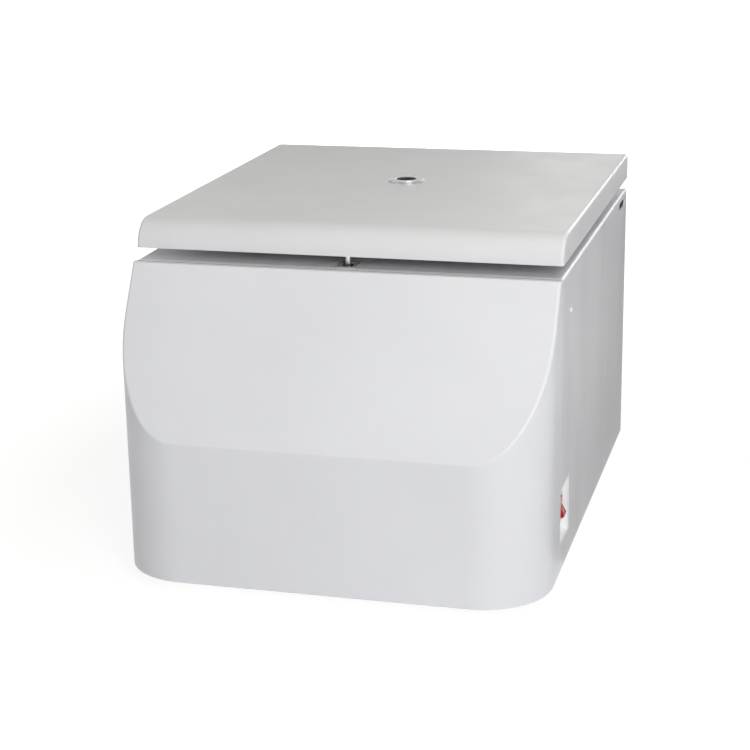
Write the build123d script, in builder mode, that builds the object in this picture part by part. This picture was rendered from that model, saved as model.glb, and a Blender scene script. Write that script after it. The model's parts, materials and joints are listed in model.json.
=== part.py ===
from build123d import *
from math import acos, cos, pi, radians, sin, sqrt, tan
import os

# Benchtop microplate centrifuge with a rear-hinged lid.
# Frame: +Z up, the front faces -Y, +X is to the right seen from the front.
# Origin: centre of the footprint, on the bench.

os.makedirs("parts", exist_ok=True)

# ---- Driving dimensions (mm) ------------------------------------------------

# housing
body_width = 430.0
housing_height = 299.0        # lower edge of the housing up to the deck
foot_height = 12.0            # bench to the lower edge of the housing
corner_radius = 70.0          # upright corners at the front
crease_height = 143.5         # lower edge of the slanted panel
slant_run = 93.0              # how far the slanted panel leans back
crease_round = 3.0
front_depth = 103.0           # front moulding, back to its seam with the side panels
rear_space = 18.0             # guard ring to the rear of the housing
shell_wall = 3.0              # front moulding
sheet = 1.5                   # sheet-metal panels
edge_bend = 3.5               # outside radius along the upper edges
return_width = 12.0           # inward returns of the panels
seam_gap = 0.8
fit_gap = 0.3                 # between pieces that lie against each other
running_gap = 0.05            # radial, shafts in bores
screw_inset = 34.0            # top and bottom rear screws, from the ends of the rear panel
screw_head = 3.5
screw_head_height = 2.0
screw_radius = 1.5
screw_length = 6.0

# base and feet
base_lift = 2.0               # underside of the base above the housing's lower edge
base_thickness = 2.0
flange_height = 15.0
foot_radius = 18.0
foot_side = 65.0              # feet, in from the sides
foot_front = 75.0             # in from the front
foot_rear = 65.0              # in from the rear

# lid
lid_gap = 12.0
lid_height = 27.5
lid_step = 13.0               # deck left bare in front of the lid
deck_lip = 6.5                # level edge of the front moulding, ahead of the deck
lid_overhang = 9.0            # past the rear panel
lid_sheet = 1.5
lid_edge_round = 3.5
liner_recess = 1.0
liner_emboss = 3.0
liner_emboss_gap = 8.0        # pressed middle, in from the bowl's bore

# sight window in the lid
window_radius = 20.0
window_rise = 3.0
window_bore = 11.0
window_tube = 13.5
window_glass_thickness = 4.0
window_glass_seat = 3.5       # glass's underside below the top of the lid
window_nut_radius = 19.0
window_nut_height = 5.0

# hinges
hinge_rear = 17.0             # pin axis ahead of the rear of the housing
hinge_drop = 11.5             # pin axis below the deck
hinge_side = 65.0             # hinges, in from the sides
hinge_width = 20.0
hinge_pin_radius = 4.0
knuckle_radius = 9.0
hinge_foot_ahead = 43.0       # foot of an arm, ahead of its pin
hinge_foot_behind = 18.0
hinge_plate = 3.0
hinge_bracket_ahead = 16.0
hinge_bracket_below = 8.0     # room below the knuckle
hinge_cheek = 3.5
hinge_clearance = 4.0         # round the knuckle in the deck and the rear panel

# chamber
bowl_radius = 176.0
bowl_depth = 149.0            # deck down to the chamber floor
bowl_corner = 22.0
bowl_hole = 30.0
rim_width = 16.0
guard_gap = 3.5               # bowl to guard ring
guard_wall = 6.0
guard_drop = 12.0             # guard ring's top below the deck
gasket_setback = 4.0          # from the bowl's bore
gasket_width = 9.0

# chassis and motor
chassis_drop = 22.0           # chassis underside below the chamber floor
chassis_thickness = 4.0
chassis_margin = 3.0          # past the guard ring
chassis_hole = 32.0
post_radius = 8.0
post_inset = 20.0
shaft_radius = 8.5
bearing_radius = 17.5
bearing_width = 10.0
motor_radius = 60.0
motor_wall = 4.0
motor_bottom = 22.0
motor_flange_radius = 76.0
motor_flange_thickness = 6.0
damper_radius = 9.0
damper_height = 8.0
damper_circle = 64.0
stator_inner = 36.0
stator_end_gap = 11.0         # stator to the bearings
air_gap = 0.6
boot_wall = 2.5
boot_height = 30.0
boot_lip = 5.0

# swing-out rotor
trunnion_drop = 64.0          # trunnion axis below the deck
trunnion_radius = 5.0
trunnion_tip = 67.0
trunnion_head = 2.0
beam_inner = 72.0
beam_width = 12.0
beam_height = 22.0
beam_end = 15.0               # past the trunnion
hub_radius = 28.0
hub_below = 29.0              # hub's ends, from the trunnion axis
hub_above = 15.0
cross_width = 44.0
waist_radius = 16.0
waist_place = 48.0
nut_height = 16.0
nut_radius = 19.0
nut_flute = 4.0               # grip hollows round the nut

# plate carriers, for microplates of 127.76 x 85.48 mm
plate_length = 127.76
plate_width = 85.48
plate_play = 1.4
swing_gap = 3.5               # carrier to the bowl as it swings out
carrier_wall = 2.0
carrier_floor_drop = 50.0     # carrier floor's top below the trunnion
carrier_side_height = 18.0
carrier_pad = 3.2             # hook pads outside the end walls
carrier_top = 12.0
carrier_neck = 36.0
hook_depth = 14.0
finger_cut = 60.0
finger_sill = 6.0             # side left below a finger cut-out
mat_thickness = 2.0

# lid lock
striker_inset = 16.0          # striker behind the lid's front
striker_radius = 3.0
striker_groove = 2.0
striker_reach = 37.0          # tip below the deck
striker_flange = 8.0
deck_slot_width = 13.0
deck_slot_length = 20.0
slot_collar = 3.5
gear_module = 1.5
pinion_teeth = 16
pinion_width = 10.0
pinion_behind = 29.0          # pinion axis behind the striker
pinion_drop = 42.0            # pinion axis below the deck
gear_backlash = 0.2
rack_addendum = 1.3
rack_teeth = 6
slider_half = 12.0
slider_thickness = 4.1
slider_ahead = 14.0           # slider's ends, from the striker
slider_behind = 41.0
slider_hole = 4.5
lock_travel = 8.0
lock_overrun = 0.8            # keyhole slot, past the travel
latch_rail = 3.0
latch_ahead = 12.0            # lock frame's ends, from the striker
latch_behind = 43.0
latch_gap = 8.0               # lock frame to the guard ring
latch_foot = 12.0
gearbox_length = 26.0
gearbox_width = 28.0
gearbox_height = 24.0
lock_motor_radius = 11.0
lock_motor_length = 38.0
release_shaft_radius = 3.0
release_shaft_gap = 15.0      # shaft's end to the side of the housing
release_hole = 2.2
release_head = 3.0
release_head_height = 2.0
release_stem = 8.0
release_bracket_half = 12.0
release_bracket_in = 8.0      # bracket ahead of the shaft's end
release_bracket_rise = 10.0   # above and below the shaft
release_bracket_foot = 14.0
release_bracket_sheet = 2.0
sensor_length = 20.0
sensor_height = 10.0
sensor_width = 6.0
sensor_drop = 14.0            # below the deck
lever_length = 18.0
lever_thickness = 0.8
lever_tilt = 8.0

# power switch pocket in the right side
pocket_margin = 5.0           # behind the seam of the front moulding
pocket_length = 52.0
pocket_bottom = 27.0
pocket_height = 59.0
pocket_depth = 10.0
pocket_wall = 1.5
switch_behind = 35.0          # switch's centre, from the pocket's front and bottom
switch_above = 29.5
switch_raise = 3.3            # plinth that lifts the switch off the pocket's floor
plinth_border = 4.0
rocker_length = 22.0
rocker_width = 13.0
rocker_tilt = 14.0
rocker_play = 1.3
rocker_rise = 5.6             # rocker's ends, past its pivot
rocker_dip = 2.8              # its hollow middle
rocker_round = 2.5            # its rounded ends
rocker_depth = 3.0            # its underside
rocker_pivot = 1.3
rocker_pivot_reach = 1.0      # into the switch body
rocker_sink = 1.0             # pivot behind the top of the plinth
bezel_border = 2.2
bezel_thickness = 1.5
switch_skin = 1.2
switch_body_depth = 22.0
switch_well = 6.0             # depth behind the rocker's pivot

# hinge access slots near the rear of the sides
access_rear = 15.0            # in from the rear
access_length = 46.0
access_drop = 16.0            # lower edge below the deck
access_height = 8.5

# rear fittings
fan_size = 92.0
fan_depth = 25.0
fan_bore = 43.0
fan_hub = 17.0
fan_blade_tip = 41.0
fan_blades = 7
fan_blade_thickness = 1.6
fan_blade_chord = 20.0
fan_root_pitch = 40.0
fan_tip_pitch = 62.0
fan_spoke = 5.0
fan_carrier = 4.0             # thickness of the hub's carrier
fan_x = -95.0
fan_height = 76.0
fan_axle = 2.0
grille_thickness = 1.5
grille_wire = 2.2
grille_radius = 46.0
grille_rings = 4
grille_pitch = 10.0
grille_spoke = 3.0
grille_ear = 5.0
inlet_side = 85.0             # in from the right side
inlet_height = 60.0
inlet_width = 28.0
inlet_tall = 48.0
inlet_depth = 22.0
inlet_flange = 2.5
socket_width = 24.4
socket_tall = 16.6
socket_depth = 16.0
socket_corner = 4.0
pin_spread = 7.0              # outer pins, from the middle
pin_offset = 2.0              # their height against the middle pin
drawer_width = 23.0
drawer_tall = 11.0
drawer_stand = 0.8            # proud of the inlet's flange
grip_width = 8.0
grip_height = 2.5
vent_slot_length = 60.0
vent_slot_width = 4.0
vent_slots = 7
vent_pitch = 10.0
vent_drop = 71.0              # middle of the rear vents below the deck

# electronics
board_width = 180.0
board_tall = 90.0
board_thickness = 1.6
standoff_length = 14.0
standoff_radius = 3.5
standoff_inset = 6.0
chip_size = 24.0
connector_length = 40.0
connector_width = 8.0
component_height = 6.0
drive_side = 18.5             # in from the left side panel
drive_width = 70.0
drive_length = 150.0
drive_rear = 85.0             # in from the rear
drive_headroom = 22.0         # heatsink to the chassis
fin_height = 22.0
fin_count = 8
fin_thickness = 2.0
sink_base = 4.0
sink_border = 4.0             # heatsink in from the sides of the box
sink_end = 10.0               # and from its ends

# ---- Levels and places derived from them ------------------------------------

half_width = body_width / 2
bowl_outer = bowl_radius + sheet
guard_inner = bowl_outer + guard_gap
liner_emboss_radius = bowl_radius - liner_emboss_gap
guard_outer = guard_inner + guard_wall
lid_setback = slant_run + lid_step
rotor_setback = lid_setback + striker_inset + latch_behind + latch_gap + guard_outer
body_depth = rotor_setback + guard_outer + rear_space
overall_depth = body_depth + lid_overhang
y_front = -overall_depth / 2
y_rear = y_front + body_depth
y_axis = y_front + rotor_setback
y_seam = y_front + front_depth
y_lid_front = y_front + lid_setback
y_lid_rear = y_rear + lid_overhang
z_bottom = foot_height
z_deck = z_bottom + housing_height
z_deck_under = z_deck - sheet
z_lid = z_deck + lid_gap
z_top = z_lid + lid_height
z_liner = z_lid + liner_recess
z_base = z_bottom + base_lift
z_base_top = z_base + base_thickness
z_floor = z_deck - bowl_depth
z_chassis = z_floor - chassis_drop
z_trunnion = z_deck - trunnion_drop
y_striker = y_lid_front + striker_inset
y_pinion = y_striker + pinion_behind
z_pinion = z_deck - pinion_drop
panel_inside = half_width - sheet
deck_half = half_width - edge_bend - fit_gap
spindle = Axis((0, y_axis, 0), (0, 0, 1))


def level(z):
    """Horizontal sketch plane at height z."""
    return Plane.XY.offset(z)


def across(x):
    """Upright sketch plane at x; the sketch's x is Y, its y is Z, and it extrudes towards +X."""
    return Plane.YZ.offset(x)


def facing(y):
    """Upright sketch plane at y; the sketch's x is X, its y is Z, and it extrudes towards -Y."""
    return Plane.XZ.offset(-y)


def save(builder, name):
    """Label a finished piece and write it."""
    builder.part.label = name
    export_step(builder.part, f"parts/{name}.step")


def ring(inner, outer, bottom, top):
    """Upright ring about the spindle."""
    with BuildPart() as made:
        with BuildSketch(level(bottom)):
            with Locations((0, y_axis)):
                Circle(outer)
                Circle(inner, mode=Mode.SUBTRACT)
        extrude(amount=top - bottom)
    return made


# ---- Front moulding ----------------------------------------------------------

slant_rise = housing_height - crease_height
slant_plane = Plane(
    origin=(0, y_front, z_bottom + crease_height),
    x_dir=(1, 0, 0),
    z_dir=(0, -slant_rise, slant_run),
)
slant_length = sqrt(slant_rise**2 + slant_run**2)
returns_half = panel_inside - return_width - 2            # returns of the front and rear


def front_plan(z, inset, back):
    """Plan of the housing's rounded front, set in from the outside, back to a distance."""
    with BuildSketch(level(z), mode=Mode.PRIVATE) as plan:
        with Locations((0, y_front + inset)):
            Rectangle(body_width - 2 * inset, back - inset, align=(Align.CENTER, Align.MIN))
        fillet(plan.vertices().group_by(Axis.Y)[0], corner_radius - inset)
    return plan.sketch


with BuildPart() as front_cavity:
    extrude(front_plan(z_bottom - 1, shell_wall, front_depth + 1), amount=housing_height + 2)
    split(bisect_by=slant_plane.offset(-shell_wall), keep=Keep.BOTTOM)

with BuildPart() as front_return:
    extrude(front_plan(z_base - sheet, shell_wall / 2, front_depth), amount=sheet)
    extrude(
        front_plan(z_base - sheet, shell_wall + return_width, front_depth + 1),
        amount=sheet,
        mode=Mode.SUBTRACT,
    )

with BuildPart() as front_shell:
    extrude(front_plan(z_bottom, 0, front_depth), amount=housing_height)
    split(bisect_by=slant_plane, keep=Keep.BOTTOM)
    slanted = front_shell.faces().sort_by(Axis((0, 0, 0), slant_plane.z_dir))[-1]
    crease = slanted.edges().filter_by(lambda edge: edge.center().Z < z_deck - 1)
    fillet(crease, crease_round)
    add(front_cavity.part, mode=Mode.SUBTRACT)
    add(front_return.part)
    # tongues behind the seams with the side panels
    tongue = shell_wall - sheet - fit_gap
    tongue_lap = pocket_margin - pocket_wall - 2 * fit_gap
    with BuildSketch(level(z_base)):
        for side in (-1, 1):
            with Locations((side * (half_width - shell_wall + tongue / 2), y_seam)):
                Rectangle(tongue, 2 * tongue_lap)
    extrude(amount=housing_height - edge_bend - 2 * sheet - base_lift)
    # level lip at the top of the slanted panel
    with BuildSketch(level(z_deck_under)):
        with Locations((0, y_front + slant_run + fit_gap)):
            Rectangle(body_width - shell_wall, deck_lip - fit_gap, align=(Align.CENTER, Align.MIN))
    extrude(amount=sheet)
    # ledge that carries the front edge of the deck
    with BuildSketch(level(z_deck_under - sheet)):
        with Locations((0, y_front + slant_run + fit_gap)):
            Rectangle(2 * returns_half, return_width, align=(Align.CENTER, Align.MIN))
    extrude(amount=sheet)
save(front_shell, "front_shell")

# ---- Side panels --------------------------------------------------------------

y_panel = y_seam + seam_gap
y_pocket = y_seam + pocket_margin + pocket_length / 2
z_pocket = z_bottom + pocket_bottom + pocket_height / 2
y_switch = y_seam + pocket_margin + switch_behind
z_switch = z_bottom + pocket_bottom + switch_above
y_access = y_rear - access_rear
z_access = z_deck - access_drop
screw_heights = (screw_inset, housing_height / 2, housing_height - screw_inset)
screw_x = panel_inside - return_width / 2
screw_points = [
    (side * screw_x, z_bottom + height) for side in (-1, 1) for height in screw_heights
]


def side_panel_blank():
    """Right side panel: bent upper edge, joggled flange under the deck, lower and rear returns."""
    with BuildPart() as blank:
        with BuildSketch(facing(y_rear)):
            with Locations((half_width - edge_bend, z_deck - edge_bend)):
                Circle(edge_bend)
                Rectangle(edge_bend, edge_bend, align=(Align.MIN, Align.MIN), mode=Mode.INTERSECT)
                Circle(edge_bend - sheet, mode=Mode.SUBTRACT)
            with Locations((half_width, z_bottom)):
                Rectangle(sheet, housing_height - edge_bend, align=(Align.MAX, Align.MIN))
        extrude(amount=y_rear - y_panel)
        with BuildSketch(facing(y_rear - edge_bend - sheet)):
            for z_return in (z_base - sheet, z_deck_under - sheet):
                with Locations((panel_inside, z_return)):
                    Rectangle(return_width, sheet, align=(Align.MAX, Align.MIN))
        extrude(amount=y_rear - edge_bend - sheet - y_panel)
        with BuildSketch(level(z_base_top + fit_gap)):
            with Locations((panel_inside, y_rear - sheet)):
                Rectangle(return_width, sheet, align=(Align.MAX, Align.MAX))
        extrude(amount=z_access - 4 - z_base_top)
        with BuildSketch(facing(y_rear)):
            with Locations(*[point for point in screw_points if point[0] > 0]):
                Circle(screw_radius + fit_gap)
        extrude(amount=3 * sheet, mode=Mode.SUBTRACT)
        with BuildSketch(across(panel_inside)) as slot:
            with Locations((y_access, z_access)):
                Rectangle(access_length, access_height, align=(Align.MAX, Align.MIN))
            fillet(slot.vertices(), access_height / 2 - 0.5)
        extrude(amount=sheet, mode=Mode.SUBTRACT)
    return blank


panel_blank = side_panel_blank()

with BuildPart() as side_panel_right:
    add(panel_blank.part)
    # opening of the switch pocket
    with BuildSketch(across(panel_inside)):
        with Locations((y_pocket, z_pocket)):
            Rectangle(pocket_length, pocket_height)
    extrude(amount=sheet, mode=Mode.SUBTRACT)
    # hole that leads to the emergency release shaft
    with BuildSketch(across(panel_inside)):
        with Locations((y_pinion, z_pinion)):
            Circle(release_hole)
    extrude(amount=sheet, mode=Mode.SUBTRACT)
save(side_panel_right, "side_panel_right")

with BuildPart() as side_panel_left:
    add(panel_blank.part)
    mirror(about=Plane.YZ, mode=Mode.REPLACE)
save(side_panel_left, "side_panel_left")

# ---- Rear panel ----------------------------------------------------------------

z_fan = z_bottom + fan_height
z_inlet = z_bottom + inlet_height
inlet_x = half_width - inlet_side
y_hinge = y_rear - hinge_rear
z_hinge = z_deck - hinge_drop
hinge_x = half_width - hinge_side
hinge_notch = hinge_width / 2 + 5 * fit_gap

with BuildPart() as rear_panel:
    with BuildSketch(facing(y_rear)):
        with Locations((0, z_bottom)):
            Rectangle(
                2 * (panel_inside - fit_gap), housing_height - edge_bend, align=(Align.CENTER, Align.MIN)
            )
    extrude(amount=sheet)
    with BuildSketch(across(-deck_half)):
        with Locations((y_rear - edge_bend, z_deck - edge_bend)):
            Circle(edge_bend)
            Rectangle(edge_bend, edge_bend, align=(Align.MIN, Align.MIN), mode=Mode.INTERSECT)
            Circle(edge_bend - sheet, mode=Mode.SUBTRACT)
    extrude(amount=2 * deck_half)
    with BuildSketch(across(-returns_half)):
        for z_return in (z_deck_under - sheet, z_base - sheet):
            with Locations((y_rear - sheet, z_return)):
                Rectangle(return_width, sheet, align=(Align.MAX, Align.MIN))
    extrude(amount=2 * returns_half)
    # fan opening, power inlet, vents beside the fan
    with BuildSketch(facing(y_rear)):
        with Locations((fan_x, z_fan)):
            Circle(fan_bore)
        with Locations((inlet_x, z_inlet)):
            Rectangle(inlet_width, inlet_tall)
        with Locations((inlet_x, z_deck - vent_drop)):
            with GridLocations(1, vent_pitch, 1, vent_slots):
                SlotOverall(vent_slot_length, vent_slot_width)
        with Locations(*screw_points):
            Circle(screw_radius + fit_gap)
    extrude(amount=sheet, mode=Mode.SUBTRACT)
    # notches for the hinge arms, open at the top
    with BuildSketch(level(z_hinge - knuckle_radius - hinge_clearance)):
        with Locations((-hinge_x, y_rear), (hinge_x, y_rear)):
            Rectangle(2 * hinge_notch, 2 * (return_width + sheet + 1))
    extrude(amount=z_deck, mode=Mode.SUBTRACT)
save(rear_panel, "rear_panel")

with BuildPart() as panel_screws:
    with BuildSketch(facing(y_rear)):
        with Locations(*screw_points):
            Circle(screw_head)
    extrude(amount=-screw_head_height)
    chamfer(panel_screws.faces().sort_by(Axis.Y)[-1].edges(), 0.6)
    chamfer(panel_screws.edges().filter_by(GeomType.CIRCLE).group_by(Axis.Y)[-1], 0.3)
    with BuildSketch(facing(y_rear)):
        with Locations(*screw_points):
            Circle(screw_radius)
    extrude(amount=screw_length)
save(panel_screws, "panel_screws")

# ---- Base and feet --------------------------------------------------------------

with BuildPart() as base_tray:
    extrude(
        front_plan(z_base, shell_wall + fit_gap, body_depth - sheet - fit_gap),
        amount=base_thickness,
    )
    # upturned stiffening flanges inside the side panels, clear of the switch and the rear returns
    flange_front = y_pocket + pocket_length / 2 + return_width
    flange_rear = y_rear - 2 * return_width
    flange_x = half_width - shell_wall - fit_gap - sheet / 2
    with BuildSketch(level(z_base)):
        with Locations((-flange_x, flange_front), (flange_x, flange_front)):
            Rectangle(sheet, flange_rear - flange_front, align=(Align.CENTER, Align.MIN))
    extrude(amount=flange_height)
    # air intake slots below the motor
    with BuildSketch(level(z_base)):
        with Locations((0, y_axis)):
            with GridLocations(1, vent_pitch, 1, vent_slots):
                SlotOverall(vent_slot_length, vent_slot_width)
    extrude(amount=base_thickness, mode=Mode.SUBTRACT)
save(base_tray, "base_tray")

foot_points = [
    (side * (half_width - foot_side), y_foot)
    for side in (-1, 1)
    for y_foot in (y_front + foot_front, y_rear - foot_rear)
]
with BuildPart() as feet:
    with Locations(*foot_points):
        Cone(foot_radius, foot_radius - 2, z_base, align=(Align.CENTER, Align.CENTER, Align.MIN))
    chamfer(feet.edges().group_by(Axis.Z)[0], 1.5)
save(feet, "feet")

# ---- Deck ------------------------------------------------------------------------

y_deck_front = y_front + slant_run + deck_lip + seam_gap
liner_width = deck_slot_width + 2 * (sheet - fit_gap / 2)
liner_length = deck_slot_length + 2 * (sheet - fit_gap / 2)

with BuildPart() as deck_plate:
    with BuildSketch(level(z_deck_under)):
        with Locations((0, y_deck_front)):
            Rectangle(
                2 * deck_half,
                y_rear - edge_bend - fit_gap - y_deck_front,
                align=(Align.CENTER, Align.MIN),
            )
        with Locations((0, y_axis)):
            Circle(bowl_outer + seam_gap, mode=Mode.SUBTRACT)
        with Locations((0, y_striker)):
            Rectangle(liner_width + fit_gap, liner_length + fit_gap, mode=Mode.SUBTRACT)
        with Locations((-hinge_x, y_hinge), (hinge_x, y_hinge)):
            Rectangle(
                2 * hinge_notch,
                knuckle_radius + hinge_clearance,
                align=(Align.CENTER, Align.MAX),
                mode=Mode.SUBTRACT,
            )
            Rectangle(
                2 * hinge_notch, hinge_rear, align=(Align.CENTER, Align.MIN), mode=Mode.SUBTRACT
            )
    extrude(amount=sheet)
save(deck_plate, "deck_plate")

# liner of the slot that the striker enters
with BuildPart() as latch_escutcheon:
    with BuildSketch(level(z_deck_under)):
        with Locations((0, y_striker)):
            Rectangle(liner_width, liner_length)
            Rectangle(deck_slot_width, deck_slot_length, mode=Mode.SUBTRACT)
    extrude(amount=sheet)
    with BuildSketch(level(z_deck)) as collar:
        with Locations((0, y_striker)):
            Rectangle(deck_slot_width + 2 * slot_collar, deck_slot_length + 2 * slot_collar)
        fillet(collar.vertices(), 2)
        with Locations((0, y_striker)):
            Rectangle(deck_slot_width, deck_slot_length, mode=Mode.SUBTRACT)
    extrude(amount=1)
save(latch_escutcheon, "latch_escutcheon")

# ---- Chamber ---------------------------------------------------------------------

z_rim = z_deck + sheet
rim_radius = bowl_outer + rim_width

with BuildPart() as chamber_bowl:
    with BuildSketch(facing(y_axis)) as bowl_profile:
        with Locations((bowl_hole, z_floor)):
            Rectangle(bowl_outer - bowl_hole, z_rim - z_floor, align=(Align.MIN, Align.MIN))
        fillet(bowl_profile.vertices().group_by(Axis.Y)[0].sort_by(Axis.X)[-1], bowl_corner)
        with BuildSketch(facing(y_axis), mode=Mode.SUBTRACT) as bowl_inside:
            with Locations((bowl_hole - 1, z_floor + sheet)):
                Rectangle(bowl_radius - bowl_hole + 1, z_rim - z_floor, align=(Align.MIN, Align.MIN))
            fillet(
                bowl_inside.vertices().group_by(Axis.Y)[0].sort_by(Axis.X)[-1], bowl_corner - sheet
            )
        with Locations((bowl_radius, z_deck)):
            Rectangle(rim_radius - bowl_radius, sheet, align=(Align.MIN, Align.MIN))
    revolve(axis=spindle)
save(chamber_bowl, "chamber_bowl")

with BuildPart() as chamber_gasket:
    gasket_inner = bowl_radius + gasket_setback
    gasket_height = z_liner - fit_gap - z_rim
    with BuildSketch(facing(y_axis)) as gasket_profile:
        with Locations((gasket_inner, z_rim)):
            Rectangle(gasket_width, gasket_height, align=(Align.MIN, Align.MIN))
        fillet(gasket_profile.vertices().group_by(Axis.Y)[-1], gasket_width / 2 - 0.5)
        with Locations((gasket_inner - 2, z_rim)):
            Rectangle(gasket_width + 4, 2, align=(Align.MIN, Align.MIN))
    revolve(axis=spindle)
save(chamber_gasket, "chamber_gasket")

z_chassis_top = z_chassis + chassis_thickness
guard_ring = ring(guard_inner, guard_outer, z_chassis_top, z_deck - guard_drop)
save(guard_ring, "guard_ring")

# ---- Chassis, motor ----------------------------------------------------------------

chassis_half = guard_outer + chassis_margin
post_reach = chassis_half - post_inset
with BuildPart() as chassis_plate:
    with BuildSketch(level(z_chassis)) as chassis_plan:
        with Locations((0, y_axis)):
            Rectangle(2 * chassis_half, 2 * chassis_half)
        fillet(chassis_plan.vertices(), post_inset)
        with Locations((0, y_axis)):
            Circle(chassis_hole, mode=Mode.SUBTRACT)
    extrude(amount=chassis_thickness)
save(chassis_plate, "chassis_plate")

with BuildPart() as chassis_posts:
    with BuildSketch(level(z_base_top)):
        with Locations((0, y_axis)):
            with GridLocations(2 * post_reach, 2 * post_reach, 2, 2):
                RegularPolygon(post_radius, 6)
    extrude(amount=z_chassis - z_base_top)
save(chassis_posts, "chassis_posts")

z_flange_top = z_chassis - damper_height
z_flange = z_flange_top - motor_flange_thickness
z_motor = z_bottom + motor_bottom
z_lower_bearing = z_motor + motor_wall
z_upper_bearing = z_flange_top - 2 - bearing_width

with BuildPart() as motor_dampers:
    with BuildSketch(level(z_flange_top)):
        with Locations((0, y_axis)):
            with PolarLocations(damper_circle, 4, start_angle=45):
                Circle(damper_radius)
    extrude(amount=damper_height)
save(motor_dampers, "motor_dampers")

with BuildPart() as motor_can:
    with BuildSketch(level(z_motor)):
        with Locations((0, y_axis)):
            Circle(motor_radius)
    extrude(amount=z_flange - z_motor)
    chamfer(motor_can.edges().filter_by(GeomType.CIRCLE).group_by(Axis.Z)[0], 3)
    with BuildSketch(level(z_lower_bearing)):
        with Locations((0, y_axis)):
            Circle(motor_radius - motor_wall)
            Circle(bearing_radius + motor_wall, mode=Mode.SUBTRACT)
    extrude(amount=z_flange, mode=Mode.SUBTRACT)
    with BuildSketch(level(z_lower_bearing)):
        with Locations((0, y_axis)):
            Circle(bearing_radius)
    extrude(amount=z_flange, mode=Mode.SUBTRACT)
    with BuildSketch(level(z_lower_bearing + bearing_width)):
        with Locations((0, y_axis)):
            Circle(bearing_radius + motor_wall + 1)
    extrude(amount=z_flange, mode=Mode.SUBTRACT)
save(motor_can, "motor_can")

with BuildPart() as motor_flange:
    with BuildSketch(level(z_flange)):
        with Locations((0, y_axis)):
            Circle(motor_flange_radius)
    extrude(amount=motor_flange_thickness)
    with BuildSketch(level(z_upper_bearing)):
        with Locations((0, y_axis)):
            Circle(bearing_radius + motor_wall)
    extrude(amount=z_flange - z_upper_bearing)
    with BuildSketch(level(z_upper_bearing)):
        with Locations((0, y_axis)):
            Circle(bearing_radius)
    extrude(amount=bearing_width, mode=Mode.SUBTRACT)
    with BuildSketch(level(z_flange)):
        with Locations((0, y_axis)):
            Circle(shaft_radius + 1)
    extrude(amount=motor_flange_thickness, mode=Mode.SUBTRACT)
save(motor_flange, "motor_flange")

with BuildPart() as motor_bearings:
    for z_bearing in (z_lower_bearing, z_upper_bearing):
        with BuildSketch(level(z_bearing)):
            with Locations((0, y_axis)):
                Circle(bearing_radius)
                Circle(shaft_radius + running_gap, mode=Mode.SUBTRACT)
        extrude(amount=bearing_width)
save(motor_bearings, "motor_bearings")

z_stator = z_lower_bearing + bearing_width + stator_end_gap
z_stator_top = z_upper_bearing - stator_end_gap
motor_stator = ring(stator_inner, motor_radius - motor_wall, z_stator, z_stator_top)
save(motor_stator, "motor_stator")
motor_core = ring(shaft_radius, stator_inner - air_gap, z_stator, z_stator_top)
save(motor_core, "motor_core")

z_hub = z_trunnion - hub_below
z_hub_top = z_trunnion + hub_above
with BuildPart() as motor_shaft:
    with BuildSketch(level(z_lower_bearing + 0.5)):
        with Locations((0, y_axis)):
            Circle(shaft_radius)
    extrude(amount=z_hub_top + nut_height / 2 - z_lower_bearing - 0.5)
save(motor_shaft, "motor_shaft")

# rubber boot that closes the bowl's hole round the shaft
boot_top = z_floor + boot_height
boot_seat = bowl_hole - 0.1
boot_bore = shaft_radius + 1
with BuildPart() as shaft_boot:
    with BuildSketch(facing(y_axis)):
        with BuildLine():
            Polyline(
                (bowl_hole - boot_wall, z_floor),
                (boot_seat, z_floor),
                (boot_seat, z_floor + sheet),
                (bowl_hole + boot_lip, z_floor + sheet),
                (bowl_hole + boot_lip, z_floor + sheet + boot_wall),
                (bowl_hole - boot_lip + 1, z_floor + sheet + boot_wall),
                (boot_bore + boot_wall, boot_top),
                (boot_bore, boot_top),
                (boot_bore, boot_top - 4),
                close=True,
            )
        make_face()
    revolve(axis=spindle)
save(shaft_boot, "shaft_boot")

# ---- Swing-out rotor -----------------------------------------------------------------

carrier_inner_length = plate_length + plate_play
carrier_inner_width = plate_width + 3 * plate_play
end_wall = carrier_inner_length / 2           # inner face of the end walls, from the axis
carrier_half = carrier_inner_width / 2 + carrier_wall
carrier_swing = sqrt(carrier_half**2 + (carrier_floor_drop + carrier_wall) ** 2)
swing_reach = sqrt((bowl_radius - swing_gap) ** 2 - (end_wall + carrier_wall) ** 2)
trunnion_x = swing_reach - carrier_swing      # as far out as the swinging corners allow

beam_middle = beam_inner + beam_width / 2
beam_outer = beam_inner + beam_width
beam_half = trunnion_x + beam_end
z_beam = z_trunnion - beam_height / 2

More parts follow.
